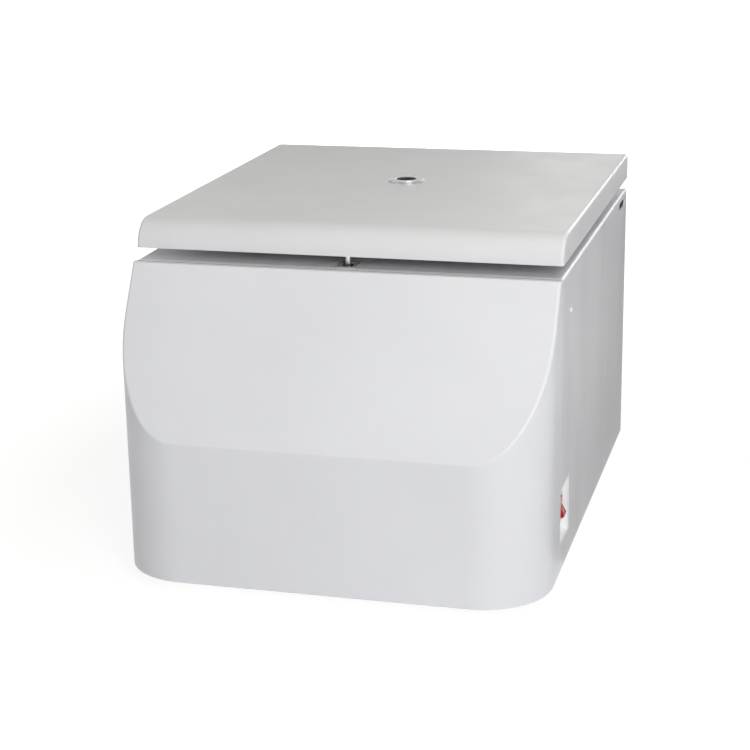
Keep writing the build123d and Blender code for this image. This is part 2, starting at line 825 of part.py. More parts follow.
with BuildPart() as rotor_yoke:
    with BuildSketch(level(z_beam)) as beams:
        with Locations((0, y_axis - beam_middle), (0, y_axis + beam_middle)):
            SlotOverall(2 * beam_half, beam_width)
            Rectangle(2 * beam_half - beam_width / 2, beam_width)
        with Locations((0, y_axis)):
            Rectangle(cross_width, 2 * beam_inner + 2)
    extrude(amount=beam_height)
    # waist the cross beam between the hub and the side beams
    with BuildSketch(level(z_beam)):
        for side in (-1, 1):
            waist_x = side * (cross_width + waist_radius - 4) / 2
            with Locations((waist_x, y_axis - waist_place), (waist_x, y_axis + waist_place)):
                Circle(waist_radius)
    extrude(amount=beam_height, mode=Mode.SUBTRACT)
    with BuildSketch(level(z_hub)):
        with Locations((0, y_axis)):
            Circle(hub_radius)
    extrude(amount=z_hub_top - z_hub)
    # lightening slots through the side beams
    slot_x = trunnion_x / 2 + 4
    with BuildSketch(facing(y_axis + beam_outer)):
        with Locations((-slot_x, z_trunnion), (slot_x, z_trunnion)):
            SlotOverall(trunnion_x / 2, beam_height / 2)
    extrude(amount=2 * beam_outer, mode=Mode.SUBTRACT)
    # trunnion bores and spindle bore
    with BuildSketch(facing(y_axis + beam_outer)):
        with Locations((-trunnion_x, z_trunnion), (trunnion_x, z_trunnion)):
            Circle(trunnion_radius)
    extrude(amount=2 * beam_outer, mode=Mode.SUBTRACT)
    with BuildSketch(level(z_hub)):
        with Locations((0, y_axis)):
            Circle(shaft_radius)
    extrude(amount=z_hub_top - z_hub, mode=Mode.SUBTRACT)
save(rotor_yoke, "rotor_yoke")

with BuildPart() as trunnion_pins:
    for side in (-1, 1):
        with BuildSketch(facing(y_axis + side * trunnion_tip)):
            with Locations((-trunnion_x, z_trunnion), (trunnion_x, z_trunnion)):
                Circle(trunnion_radius)
        extrude(amount=-side * (beam_outer - trunnion_tip))
        with BuildSketch(facing(y_axis + side * beam_outer)):
            with Locations((-trunnion_x, z_trunnion), (trunnion_x, z_trunnion)):
                Circle(trunnion_radius + trunnion_head)
        extrude(amount=-side * trunnion_head)
save(trunnion_pins, "trunnion_pins")

with BuildPart() as rotor_nut:
    with BuildSketch(level(z_hub_top)) as nut_plan:
        with Locations((0, y_axis)):
            Circle(nut_radius)
            with PolarLocations(nut_radius + 1.5, 6):
                Circle(nut_flute, mode=Mode.SUBTRACT)
    extrude(amount=nut_height)
    chamfer(rotor_nut.faces().sort_by(Axis.Z)[-1].edges(), 1)
    with BuildSketch(level(z_hub_top)):
        with Locations((0, y_axis)):
            Circle(shaft_radius)
    extrude(amount=nut_height / 2, mode=Mode.SUBTRACT)
save(rotor_nut, "rotor_nut")

# ---- Plate carriers --------------------------------------------------------------------

z_carrier_floor = z_trunnion - carrier_floor_drop
neck_half = carrier_neck / 2
neck_corner = 6.0


def plate_carrier(x_pivot):
    """Tray for one microplate, with hooks that hang over the trunnion pins."""
    with BuildPart() as carrier:
        with BuildSketch(level(z_carrier_floor - carrier_wall)) as tray_plan:
            with Locations((x_pivot, y_axis)):
                Rectangle(2 * carrier_half, 2 * (end_wall + carrier_wall))
            fillet(tray_plan.vertices(), 3)
        extrude(amount=carrier_side_height + carrier_wall)
        # end walls, narrowing towards the hooks
        with BuildSketch(facing(y_axis + end_wall + carrier_wall)):
            with BuildLine():
                Polyline(
                    (x_pivot - carrier_half, z_carrier_floor + carrier_side_height - 1),
                    (x_pivot + carrier_half, z_carrier_floor + carrier_side_height - 1),
                    (x_pivot + neck_half, z_trunnion - hook_depth),
                    (x_pivot + neck_half, z_trunnion + carrier_top - neck_corner),
                    (x_pivot + neck_half - neck_corner, z_trunnion + carrier_top),
                    (x_pivot - neck_half + neck_corner, z_trunnion + carrier_top),
                    (x_pivot - neck_half, z_trunnion + carrier_top - neck_corner),
                    (x_pivot - neck_half, z_trunnion - hook_depth),
                    close=True,
                )
            make_face()
        extrude(amount=2 * (end_wall + carrier_wall))
        with BuildSketch(level(z_carrier_floor)):
            with Locations((x_pivot, y_axis)):
                Rectangle(carrier_inner_width, carrier_inner_length)
        extrude(amount=z_deck, mode=Mode.SUBTRACT)
        # hook pads with their inverted-U slots
        for end in (-1, 1):
            with BuildSketch(facing(y_axis + end * (end_wall + carrier_wall))) as pad:
                with Locations((x_pivot, z_trunnion + carrier_top)):
                    Rectangle(
                        carrier_neck, carrier_top + hook_depth, align=(Align.CENTER, Align.MAX)
                    )
                fillet(pad.vertices().group_by(Axis.Y)[-1], neck_corner)
                with Locations((x_pivot, z_trunnion)):
                    Circle(trunnion_radius + running_gap, mode=Mode.SUBTRACT)
                    Rectangle(
                        2 * (trunnion_radius + running_gap),
                        hook_depth + 1,
                        align=(Align.CENTER, Align.MAX),
                        mode=Mode.SUBTRACT,
                    )
            extrude(amount=-end * carrier_pad)
        # finger cut-outs in the long sides
        with BuildSketch(across(x_pivot - carrier_half - 1)):
            with Locations((y_axis, z_carrier_floor + carrier_side_height)):
                SlotOverall(finger_cut, 2 * (carrier_side_height - finger_sill))
        extrude(amount=2 * carrier_half + 2, mode=Mode.SUBTRACT)
    return carrier


def plate_mat(x_pivot):
    """Rubber mat on a carrier's floor."""
    with BuildPart() as mat:
        with BuildSketch(level(z_carrier_floor)) as mat_plan:
            with Locations((x_pivot, y_axis)):
                Rectangle(carrier_inner_width - 1, carrier_inner_length - 1)
            fillet(mat_plan.vertices(), 3)
        extrude(amount=mat_thickness)
    return mat


save(plate_carrier(trunnion_x), "carrier_right")
save(plate_carrier(-trunnion_x), "carrier_left")
save(plate_mat(trunnion_x), "mat_right")
save(plate_mat(-trunnion_x), "mat_left")

# ---- Lid -----------------------------------------------------------------------------------


def lid_profile(x, inset):
    """Side profile of the lid: a quarter-round nose in front, flat on top."""
    nose = lid_height - inset
    y_nose = y_lid_front + lid_height
    with BuildSketch(across(x), mode=Mode.PRIVATE) as profile:
        with BuildLine():
            RadiusArc((y_lid_front + inset, z_lid), (y_nose, z_lid + nose), nose)
            Polyline(
                (y_nose, z_lid + nose),
                (y_lid_rear - inset, z_lid + nose),
                (y_lid_rear - inset, z_lid),
                (y_lid_front + inset, z_lid),
            )
        make_face()
    return profile.sketch


def lid_block(inset):
    """Lid's outer form, set in on every side but the bottom, with its rounded edges."""
    with BuildPart() as block:
        extrude(lid_profile(inset - half_width, inset), amount=body_width - 2 * inset)
        rounded = block.edges().filter_by(
            lambda edge: edge.center().Z > z_lid + 1
            and abs(edge.center().Y - y_lid_front - lid_height) > 1
        )
        fillet(rounded, lid_edge_round - inset)
    return block


window_hole = window_tube + 0.2
z_liner_face = z_liner - liner_emboss          # underside of the pressed middle
z_tube = z_liner_face - window_nut_height

with BuildPart() as lid_shell:
    add(lid_block(0).part)
    add(lid_block(lid_sheet).part, mode=Mode.SUBTRACT)
    with BuildSketch(level(z_top - lid_sheet)):
        with Locations((0, y_axis)):
            Circle(window_hole)
    extrude(amount=lid_sheet, mode=Mode.SUBTRACT)
save(lid_shell, "lid_shell")

with BuildPart() as lid_liner:
    with BuildSketch(level(z_liner)) as liner_plan:
        with Locations((0, (y_lid_front + y_lid_rear) / 2)):
            Rectangle(
                2 * (half_width - lid_sheet - fit_gap),
                y_lid_rear - y_lid_front - 2 * (lid_sheet + fit_gap) - 0.4,
            )
        fillet(liner_plan.vertices(), lid_edge_round)
    extrude(amount=lid_sheet)
    with BuildSketch(level(z_liner_face)):
        with Locations((0, y_axis)):
            Circle(liner_emboss_radius)
    extrude(amount=liner_emboss)
    with BuildSketch(level(z_liner_face + lid_sheet)):
        with Locations((0, y_axis)):
            Circle(liner_emboss_radius - lid_sheet)
    extrude(amount=liner_emboss, mode=Mode.SUBTRACT)
    with BuildSketch(level(z_liner_face)):
        with Locations((0, y_axis)):
            Circle(window_hole)
    extrude(amount=lid_sheet, mode=Mode.SUBTRACT)
save(lid_liner, "lid_liner")

# chromed sight window: stepped flange on the lid, tube down through lid and liner
z_glass = z_top - window_glass_seat
with BuildPart() as window_bezel:
    with BuildSketch(facing(y_axis)):
        with BuildLine():
            Polyline(
                (window_tube, z_top),
                (window_radius, z_top),
                (window_radius, z_top + 1),
                (window_radius - 3, z_top + 1.6),
                (window_radius - 3.6, z_top + window_rise),
                (window_bore + 1.6, z_top + window_rise),
                (window_bore, z_top + window_rise - 0.8),
                (window_bore, z_glass),
                (window_bore - 2, z_glass),
                (window_bore - 2, z_tube),
                (window_tube, z_tube),
                close=True,
            )
        make_face()
    revolve(axis=spindle)
save(window_bezel, "window_bezel")

with BuildPart() as window_glass:
    with BuildSketch(level(z_glass)):
        with Locations((0, y_axis)):
            Circle(window_bore - 0.1)
    extrude(amount=window_glass_thickness)
    chamfer(window_glass.faces().sort_by(Axis.Z)[-1].edges(), 0.5)
save(window_glass, "window_glass")

window_nut = ring(window_tube + 0.1, window_nut_radius, z_tube, z_liner_face)
save(window_nut, "window_nut")

# ---- Hinges ----------------------------------------------------------------------------------

hinge_points = [(side * hinge_x, y_hinge) for side in (-1, 1)]
cheek_inside = hinge_width / 2 + fit_gap
cheek_outside = cheek_inside + hinge_cheek
z_bracket = z_hinge - knuckle_radius - hinge_bracket_below - hinge_cheek
y_arm_foot = y_hinge - hinge_foot_ahead

with BuildPart() as hinge_arms:
    for side in (-1, 1):
        with BuildSketch(across(side * hinge_x - hinge_width / 2)):
            with Locations((y_hinge, z_hinge)):
                Circle(knuckle_radius)
                Rectangle(
                    2 * knuckle_radius, z_liner - z_hinge, align=(Align.CENTER, Align.MIN)
                )
            with Locations((y_arm_foot, z_liner)):
                Rectangle(
                    hinge_foot_ahead + hinge_foot_behind, hinge_plate, align=(Align.MIN, Align.MAX)
                )
            with BuildLine():
                Polyline(
                    (y_hinge - knuckle_radius, z_deck + 3),
                    (y_hinge - knuckle_radius, z_liner - 1),
                    (y_arm_foot + 6, z_liner - 1),
                    (y_arm_foot + 6, z_liner - hinge_plate),
                    close=True,
                )
            make_face()
            with Locations((y_hinge, z_hinge)):
                Circle(hinge_pin_radius + running_gap, mode=Mode.SUBTRACT)
        extrude(amount=hinge_width)
save(hinge_arms, "hinge_arms")

with BuildPart() as hinge_brackets:
    bracket_length = hinge_bracket_ahead + hinge_rear - sheet
    with BuildSketch(level(z_bracket)):
        with Locations(*[(side * hinge_x, y_rear - sheet) for side in (-1, 1)]):
            Rectangle(2 * cheek_outside, bracket_length, align=(Align.CENTER, Align.MAX))
    extrude(amount=z_deck - edge_bend - z_bracket)
    with BuildSketch(level(z_bracket + hinge_cheek)):
        with Locations(*[(side * hinge_x, y_rear - sheet) for side in (-1, 1)]):
            Rectangle(2 * cheek_inside, bracket_length, align=(Align.CENTER, Align.MAX))
    extrude(amount=z_deck, mode=Mode.SUBTRACT)
    with BuildSketch(across(-hinge_x - cheek_outside)):
        with Locations((y_hinge, z_hinge)):
            Circle(hinge_pin_radius)
    extrude(amount=2 * (hinge_x + cheek_outside), mode=Mode.SUBTRACT)
save(hinge_brackets, "hinge_brackets")

with BuildPart() as hinge_pins:
    for side in (-1, 1):
        with BuildSketch(across(side * hinge_x - cheek_outside - 2)):
            with Locations((y_hinge, z_hinge)):
                Circle(hinge_pin_radius)
        extrude(amount=2 * cheek_outside + 4)
save(hinge_pins, "hinge_pins")

# ---- Lid lock ----------------------------------------------------------------------------------

pitch_radius = gear_module * pinion_teeth / 2
pressure_angle = radians(20)
base_radius = pitch_radius * cos(pressure_angle)
tip_radius = pitch_radius + gear_module
root_radius = pitch_radius - 1.25 * gear_module
tooth_pitch = pi * gear_module
z_pitch = z_pinion + pitch_radius
z_slider = z_pitch + 1.25 * gear_module
z_slider_top = z_slider + slider_thickness

with BuildPart() as striker_pin:
    with BuildSketch(level(z_liner - 2.5)):
        with Locations((0, y_striker)):
            Circle(striker_flange)
    extrude(amount=2.5)
    with BuildSketch(level(z_deck - striker_reach)):
        with Locations((0, y_striker)):
            Circle(striker_radius)
    extrude(amount=z_liner - z_deck + striker_reach)
    with BuildSketch(level(z_slider - 0.5)):
        with Locations((0, y_striker)):
            Circle(striker_radius + 1)
            Circle(striker_groove, mode=Mode.SUBTRACT)
    extrude(amount=slider_thickness + 1, mode=Mode.SUBTRACT)
    chamfer(striker_pin.faces().sort_by(Axis.Z)[0].edges(), 1)
save(striker_pin, "striker_pin")

with BuildPart() as latch_slider:
    with BuildSketch(level(z_slider)):
        with Locations((0, y_striker - slider_ahead)):
            Rectangle(
                2 * slider_half, slider_ahead + slider_behind, align=(Align.CENTER, Align.MIN)
            )
        # keyhole: wide round the striker at rest, narrow where the groove goes
        slot_run = lock_travel + lock_overrun
        with Locations((0, y_striker)):
            Circle(slider_hole, mode=Mode.SUBTRACT)
            Rectangle(
                2 * (striker_groove + fit_gap),
                slot_run,
                align=(Align.CENTER, Align.MAX),
                mode=Mode.SUBTRACT,
            )
        with Locations((0, y_striker - slot_run)):
            Circle(striker_groove + fit_gap, mode=Mode.SUBTRACT)
    extrude(amount=slider_thickness)
    # rack on the underside, one gap straight above the pinion
    half_tooth = (tooth_pitch / 2 - gear_backlash) / 2
    slope = tan(pressure_angle)
    root_half = half_tooth + 1.25 * gear_module * slope
    crest_half = half_tooth - rack_addendum * slope
    with BuildSketch(across(-pinion_width / 2)):
        for index in range(rack_teeth):
            y_tooth = y_pinion + (index - rack_teeth / 2 - 0.5) * tooth_pitch
            with BuildLine():
                Polyline(
                    (y_tooth - root_half, z_slider),
                    (y_tooth - crest_half, z_pitch - rack_addendum),
                    (y_tooth + crest_half, z_pitch - rack_addendum),
                    (y_tooth + root_half, z_slider),
                    close=True,
                )
            make_face()
    extrude(amount=pinion_width)
save(latch_slider, "latch_slider")


def tooth_half_angle(radius):
    """Half the angle that an involute tooth spans at a radius."""
    angle = acos(min(1, base_radius / radius))
    at_pitch = pi / (2 * pinion_teeth) - gear_backlash / (2 * pitch_radius)
    return at_pitch + tan(pressure_angle) - pressure_angle - tan(angle) + angle


def flank_point(radius, side):
    """Point on a flank of the tooth that points straight up."""
    angle = side * tooth_half_angle(max(radius, base_radius))
    return (y_pinion + radius * sin(angle), z_pinion + radius * cos(angle))


flank_radii = [base_radius, base_radius + 0.6, pitch_radius + 0.4, tip_radius]
with BuildPart() as latch_pinion:
    with BuildSketch(across(-pinion_width / 2)) as gear:
        with BuildSketch(across(-pinion_width / 2), mode=Mode.PRIVATE) as tooth:
            with BuildLine():
                left = [flank_point(radius, -1) for radius in flank_radii]
                right = [flank_point(radius, 1) for radius in reversed(flank_radii)]
                Polyline(flank_point(root_radius - 1, -1), *left)
                ThreePointArc(left[-1], (y_pinion, z_pinion + tip_radius), right[0])
                Polyline(*right, flank_point(root_radius - 1, 1))
                Line(flank_point(root_radius - 1, 1), flank_point(root_radius - 1, -1))
            make_face()
        with Locations((y_pinion, z_pinion)):
            Circle(root_radius)
        for index in range(pinion_teeth):
            add(
                tooth.sketch_local.rotate(
                    Axis((y_pinion, z_pinion, 0), (0, 0, 1)), index * 360 / pinion_teeth
                )
            )
        with Locations((y_pinion, z_pinion)):
            Circle(release_shaft_radius, mode=Mode.SUBTRACT)
    extrude(amount=pinion_width)
save(latch_pinion, "latch_pinion")

rail_inside = slider_half + fit_gap
rail_outside = rail_inside + latch_rail
release_shaft_end = half_width - release_shaft_gap
with BuildPart() as release_shaft:
    with BuildSketch(across(-rail_outside - 5)):
        with Locations((y_pinion, z_pinion)):
            Circle(release_shaft_radius)
    extrude(amount=release_shaft_end + rail_outside + 5)
    with BuildSketch(across(release_shaft_end)):
        with Locations((y_pinion, z_pinion)):
            RegularPolygon(1.75, 6)
    extrude(amount=-6, mode=Mode.SUBTRACT)
save(release_shaft, "release_shaft")

latch_length = latch_ahead + latch_behind
z_latch = z_pinion - tip_radius - 2 - latch_rail
ledge = slider_half - pinion_width / 2 - 1.5
with BuildPart() as latch_frame:
    with BuildSketch(facing(y_striker + latch_behind)):
        with Locations((0, z_latch)):
            Rectangle(2 * rail_outside, latch_rail, align=(Align.CENTER, Align.MIN))
        for side in (-1, 1):
            inward = Align.MIN if side < 0 else Align.MAX
            with Locations((side * rail_outside, z_latch)):
                Rectangle(latch_rail, z_deck_under - z_latch, align=(inward, Align.MIN))
            with Locations((side * (rail_outside + latch_foot), z_deck_under)):
                Rectangle(latch_foot + 2, sheet, align=(inward, Align.MAX))
            # ledge below the slider and lip above it
            with Locations((side * rail_outside, z_slider - fit_gap)):
                Rectangle(latch_rail + fit_gap + ledge, 2, align=(inward, Align.MAX))
            with Locations((side * rail_outside, z_slider_top + fit_gap)):
                Rectangle(latch_rail + fit_gap + ledge, 2, align=(inward, Align.MIN))
    extrude(amount=latch_length)
    with BuildSketch(across(-rail_outside)):
        with Locations((y_pinion, z_pinion)):
            Circle(release_shaft_radius + running_gap)
    extrude(amount=2 * rail_outside, mode=Mode.SUBTRACT)
save(latch_frame, "latch_frame")

with BuildPart() as latch_gearmotor:
    with BuildSketch(across(-rail_outside - gearbox_length)) as gearbox:
        with Locations((y_pinion, z_pinion)):
            Rectangle(gearbox_width, gearbox_height)
        fillet(gearbox.vertices(), 3)
    extrude(amount=gearbox_length)
    with BuildSketch(across(-rail_outside - gearbox_length)):
        with Locations((y_pinion, z_pinion)):
            Circle(lock_motor_radius)
    extrude(amount=-lock_motor_length)
    with BuildSketch(across(-rail_outside)):
        with Locations((y_pinion, z_pinion)):
            Circle(release_shaft_radius + running_gap)
    extrude(amount=-6, mode=Mode.SUBTRACT)
save(latch_gearmotor, "latch_gearmotor")

# bearing bracket near the far end of the release shaft, on the right side panel
x_bracket = release_shaft_end - release_bracket_in
bracket_top = z_pinion + release_bracket_rise
bracket_sheet = release_bracket_sheet
with BuildPart() as release_bracket:
    with BuildSketch(facing(y_pinion + release_bracket_half)):
        with Locations((x_bracket, bracket_top)):
            Rectangle(bracket_sheet, 2 * release_bracket_rise, align=(Align.MIN, Align.MAX))
            Rectangle(panel_inside - x_bracket, bracket_sheet, align=(Align.MIN, Align.MAX))
        with Locations((panel_inside, bracket_top - bracket_sheet)):
            Rectangle(bracket_sheet, release_bracket_foot, align=(Align.MAX, Align.MIN))
    extrude(amount=2 * release_bracket_half)
    with BuildSketch(across(x_bracket)):
        with Locations((y_pinion, z_pinion)):
            Circle(release_shaft_radius + running_gap)
    extrude(amount=bracket_sheet, mode=Mode.SUBTRACT)
save(release_bracket, "release_bracket")

with BuildPart() as release_plug:
    with BuildSketch(across(half_width + 0.1)):
        with Locations((y_pinion, z_pinion)):
            Circle(release_head)
    extrude(amount=release_head_height)
    fillet(release_plug.faces().sort_by(Axis.X)[-1].edges(), 1.2)
    with BuildSketch(across(half_width + 0.1)):
        with Locations((y_pinion, z_pinion)):
            Circle(release_hole - 2 * running_gap)
    extrude(amount=-release_stem)
save(release_plug, "release_plug")

with BuildPart() as lid_sensor:
    with BuildSketch(across(rail_outside)) as sensor:
        with Locations((y_striker, z_deck - sensor_drop)):
            Rectangle(sensor_length, sensor_height)
    extrude(amount=sensor_width)
    with BuildSketch(across(rail_outside + sensor_width / 3)):
        with Locations((y_striker, z_deck - sensor_drop + sensor_height / 2)):
            Rectangle(lever_length, lever_thickness, rotation=lever_tilt)
    extrude(amount=sensor_width / 3)
save(lid_sensor, "lid_sensor")

# ---- Power switch pocket ---------------------------------------------------------------------------

x_pocket = half_width - pocket_depth
x_plinth = x_pocket + switch_raise
opening_length = rocker_length + 2 * rocker_play
opening_width = rocker_width + 2 * fit_gap

with BuildPart() as switch_cup:
    with BuildSketch(across(x_pocket - pocket_wall)):
        with Locations((y_pocket, z_pocket)):
            Rectangle(pocket_length + 2 * pocket_wall, pocket_height + 2 * pocket_wall)
    extrude(amount=panel_inside - x_pocket + pocket_wall)
    with BuildSketch(across(x_pocket)):
        with Locations((y_pocket, z_pocket)):
            Rectangle(pocket_length, pocket_height)
    extrude(amount=pocket_depth, mode=Mode.SUBTRACT)
    with BuildSketch(across(x_pocket)) as plinth:
        with Locations((y_switch, z_switch)):
            Rectangle(opening_width + 2 * plinth_border, opening_length + 2 * plinth_border)
        fillet(plinth.vertices(), 2)
    extrude(amount=switch_raise)
    with BuildSketch(across(x_pocket - pocket_wall)):
        with Locations((y_switch, z_switch)):
            Rectangle(
                opening_width + 2 * switch_skin + fit_gap, opening_length + 2 * switch_skin + fit_gap
            )
    extrude(amount=pocket_wall + switch_raise, mode=Mode.SUBTRACT)
save(switch_cup, "switch_cup")

x_rocker = x_plinth - rocker_sink
pivot_half = opening_width / 2 + rocker_pivot_reach
with BuildPart() as switch_body:
    with BuildSketch(across(x_plinth - switch_body_depth)):
        with Locations((y_switch, z_switch)):
            Rectangle(opening_width + 2 * switch_skin, opening_length + 2 * switch_skin)
    extrude(amount=switch_body_depth)
    with BuildSketch(across(x_plinth)) as bezel:
        with Locations((y_switch, z_switch)):
            Rectangle(opening_width + 2 * bezel_border, opening_length + 2 * bezel_border)
        fillet(bezel.vertices(), 1)
    extrude(amount=bezel_thickness)
    with BuildSketch(across(x_rocker - switch_well)):
        with Locations((y_switch, z_switch)):
            Rectangle(opening_width, opening_length)
    extrude(amount=switch_body_depth, mode=Mode.SUBTRACT)
    with BuildSketch(facing(y_switch + pivot_half)):
        with Locations((x_rocker, z_switch)):
            Circle(rocker_pivot + running_gap)
    extrude(amount=2 * pivot_half, mode=Mode.SUBTRACT)
save(switch_body, "switch_body")

# rocker with its lower end out; it tilts about an axis along Y
rocker_plane = Plane(
    origin=(x_rocker, y_switch + rocker_width / 2, z_switch), x_dir=(1, 0, 0), z_dir=(0, -1, 0)
).rotated((0, -rocker_tilt, 0))
with BuildPart() as power_rocker:
    with BuildSketch(rocker_plane) as rocker_profile:
        with BuildLine():
            Polyline(
                (-rocker_depth, rocker_depth - rocker_length / 2),
                (-1, -rocker_length / 2),
                (rocker_rise, -rocker_length / 2),
                (rocker_dip, 0),
                (rocker_rise, rocker_length / 2),
                (-1, rocker_length / 2),
                (-rocker_depth, rocker_length / 2 - rocker_depth),
                close=True,
            )
        make_face()
        tips = rocker_profile.vertices().sort_by(Axis.X)[-2:]
        fillet(tips, rocker_round)
    extrude(amount=rocker_width)
    # pivots at both ends of the tilting axis
    with BuildSketch(facing(y_switch + pivot_half - running_gap)):
        with Locations((x_rocker, z_switch)):
            Circle(rocker_pivot)
    extrude(amount=2 * (pivot_half - running_gap))
save(power_rocker, "power_rocker")

# ---- Rear fittings ----------------------------------------------------------------------------------

y_inside = y_rear - sheet
y_fan = y_inside - fan_depth
fan_axis = Axis((fan_x, 0, z_fan), (0, 1, 0))

with BuildPart() as fan_frame:
    with BuildSketch(facing(y_inside)) as fan_plan:
        with Locations((fan_x, z_fan)):
            Rectangle(fan_size, fan_size)
        fillet(fan_plan.vertices(), 5)
        with Locations((fan_x, z_fan)):
            Circle(fan_bore, mode=Mode.SUBTRACT)
    extrude(amount=fan_depth)
    # hub carrier and its three spokes on the inner side
    with BuildSketch(facing(y_fan + fan_carrier)):
        with Locations((fan_x, z_fan)):
            Circle(fan_hub)
            with PolarLocations(fan_bore / 2 + 2, 3, start_angle=30):
                Rectangle(fan_bore, fan_spoke)
            Circle(fan_axle + running_gap, mode=Mode.SUBTRACT)
    extrude(amount=fan_carrier)
save(fan_frame, "fan_frame")

with BuildPart() as fan_blade:
    for radius, pitch in ((fan_hub - 1, fan_root_pitch), (fan_blade_tip, fan_tip_pitch)):
        with BuildSketch(across(fan_x + radius)):
            with Locations((y_fan + (fan_depth + fan_carrier) / 2, z_fan)):
                Rectangle(fan_blade_thickness, fan_blade_chord, rotation=pitch)
    loft()

with BuildPart() as fan_rotor:
    with BuildSketch(facing(y_inside - 1.5)):
        with Locations((fan_x, z_fan)):
            Circle(fan_hub)
    extrude(amount=fan_depth - fan_carrier - 3)
    fillet(fan_rotor.faces().sort_by(Axis.Y)[-1].edges(), 2)
    with BuildSketch(facing(y_fan + fan_carrier + 2)):
        with Locations((fan_x, z_fan)):
            Circle(fan_axle)
    extrude(amount=fan_carrier + 1)
    for index in range(fan_blades):
        add(fan_blade.part.rotate(fan_axis, index * 360 / fan_blades))
save(fan_rotor, "fan_rotor")

with BuildPart() as fan_grille:
    with BuildSketch(facing(y_rear)) as grille:
        with Locations((fan_x, z_fan)):
            # rings from the outside in, since each clears the middle for the next
            for index in range(grille_rings):
                radius = grille_radius - index * grille_pitch
                Circle(radius)
                Circle(radius - grille_wire, mode=Mode.SUBTRACT)
            spoke_length = grille_pitch * (grille_rings - 1) + grille_wire / 2
            with PolarLocations(grille_radius - spoke_length / 2, 4, start_angle=45):
                Rectangle(spoke_length, grille_spoke)
            with GridLocations(fan_size - 4 * grille_ear, fan_size - 4 * grille_ear, 2, 2):
                Circle(grille_ear)
    extrude(amount=-grille_thickness)
save(fan_grille, "fan_grille")

z_socket = z_inlet + inlet_tall / 4
z_drawer = z_inlet - inlet_tall / 4 - 1
with BuildPart() as power_inlet:
    with BuildSketch(facing(y_rear)):
        with Locations((inlet_x, z_inlet)):
            Rectangle(inlet_width - 0.4, inlet_tall - 0.4)
    extrude(amount=inlet_depth)
    with BuildSketch(facing(y_rear)) as inlet_plan:
        with Locations((inlet_x, z_inlet)):
            Rectangle(inlet_width + 6, inlet_tall + 6)
        fillet(inlet_plan.vertices(), 3)
    extrude(amount=-inlet_flange)
    with BuildSketch(facing(y_rear + inlet_flange)) as socket:
        with Locations((inlet_x, z_socket)):
            Rectangle(socket_width, socket_tall)
        chamfer(socket.vertices().group_by(Axis.Y)[-1], socket_corner)
    extrude(amount=socket_depth, mode=Mode.SUBTRACT)
    with BuildSketch(facing(y_rear + inlet_flange)):
        with Locations((inlet_x, z_drawer)):
            Rectangle(drawer_width + 2 * fit_gap, drawer_tall + 2 * fit_gap)
    extrude(amount=inlet_depth - 1, mode=Mode.SUBTRACT)
save(power_inlet, "power_inlet")

with BuildPart() as inlet_pins:
    y_pins = y_rear + inlet_flange - socket_depth
    with BuildSketch(facing(y_pins)):
        with Locations((inlet_x, z_socket - pin_offset)):
            with GridLocations(2 * pin_spread, 1, 2, 1):
                Rectangle(2, 4)
        with Locations((inlet_x, z_socket + pin_offset)):
            Rectangle(2, 4)
    extrude(amount=-0.75 * socket_depth)
save(inlet_pins, "inlet_pins")

with BuildPart() as fuse_drawer:
    with BuildSketch(facing(y_rear + inlet_flange + drawer_stand)):
        with Locations((inlet_x, z_drawer)):
            Rectangle(drawer_width, drawer_tall)
    extrude(amount=inlet_depth - 1.5)
    with BuildSketch(level(z_drawer - drawer_tall / 2)):
        with Locations((inlet_x, y_rear - 10)):
            Rectangle(drawer_width - 10, 12)
    extrude(amount=drawer_tall, mode=Mode.SUBTRACT)
    with BuildSketch(facing(y_rear + inlet_flange + drawer_stand)):
        with Locations((inlet_x, z_drawer + 2)):
            Rectangle(grip_width, grip_height)
    extrude(amount=2, mode=Mode.SUBTRACT)
save(fuse_drawer, "fuse_drawer")

# ---- Electronics -------------------------------------------------------------------------------------

board_drop = shell_wall + standoff_length
with BuildPart() as board_standoffs:
    with BuildSketch(slant_plane.offset(-board_drop)):
        with Locations((0, slant_length / 2)):
            with GridLocations(
                board_width - 2 * standoff_inset, board_tall - 2 * standoff_inset, 2, 2
            ):
                RegularPolygon(standoff_radius, 6)
    extrude(amount=standoff_length)
save(board_standoffs, "board_standoffs")

with BuildPart() as control_board:
    with BuildSketch(slant_plane.offset(-board_drop - board_thickness)):
        with Locations((0, slant_length / 2)):
            Rectangle(board_width, board_tall)
    extrude(amount=board_thickness)
    with BuildSketch(slant_plane.offset(-board_drop - board_thickness)):
        # processor and two connectors
        with Locations((-board_width / 9, slant_length / 2)):
            Rectangle(chip_size, chip_size)
        with Locations((0.3 * board_width, slant_length / 2)):
            with GridLocations(1, board_tall / 2, 1, 2):
                Rectangle(connector_length, connector_width)
    extrude(amount=-component_height)
save(control_board, "control_board")

drive_x = -(panel_inside - drive_side - drive_width / 2)
y_drive = y_rear - drive_rear - drive_length
drive_height = z_chassis - drive_headroom - fin_height - z_base_top
with BuildPart() as drive_box:
    with BuildSketch(level(z_base_top)):
        with Locations((drive_x, y_drive)):
            Rectangle(drive_width, drive_length, align=(Align.CENTER, Align.MIN))
    extrude(amount=drive_height)
    chamfer(drive_box.faces().sort_by(Axis.Z)[-1].edges(), 2)
save(drive_box, "drive_box")

with BuildPart() as drive_heatsink:
    z_sink = z_base_top + drive_height
    sink_width = drive_width - 2 * sink_border
    sink_length = drive_length - 2 * sink_end
    with BuildSketch(level(z_sink)):
        with Locations((drive_x, y_drive + drive_length / 2)):
            Rectangle(sink_width, sink_length)
    extrude(amount=sink_base)
    with BuildSketch(level(z_sink + sink_base)):
        with Locations((drive_x, y_drive + drive_length / 2)):
            with GridLocations((sink_width - fin_thickness) / (fin_count - 1), 1, fin_count, 1):
                Rectangle(fin_thickness, sink_length)
    extrude(amount=fin_height - sink_base)
save(drive_heatsink, "drive_heatsink")
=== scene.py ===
import json
import math

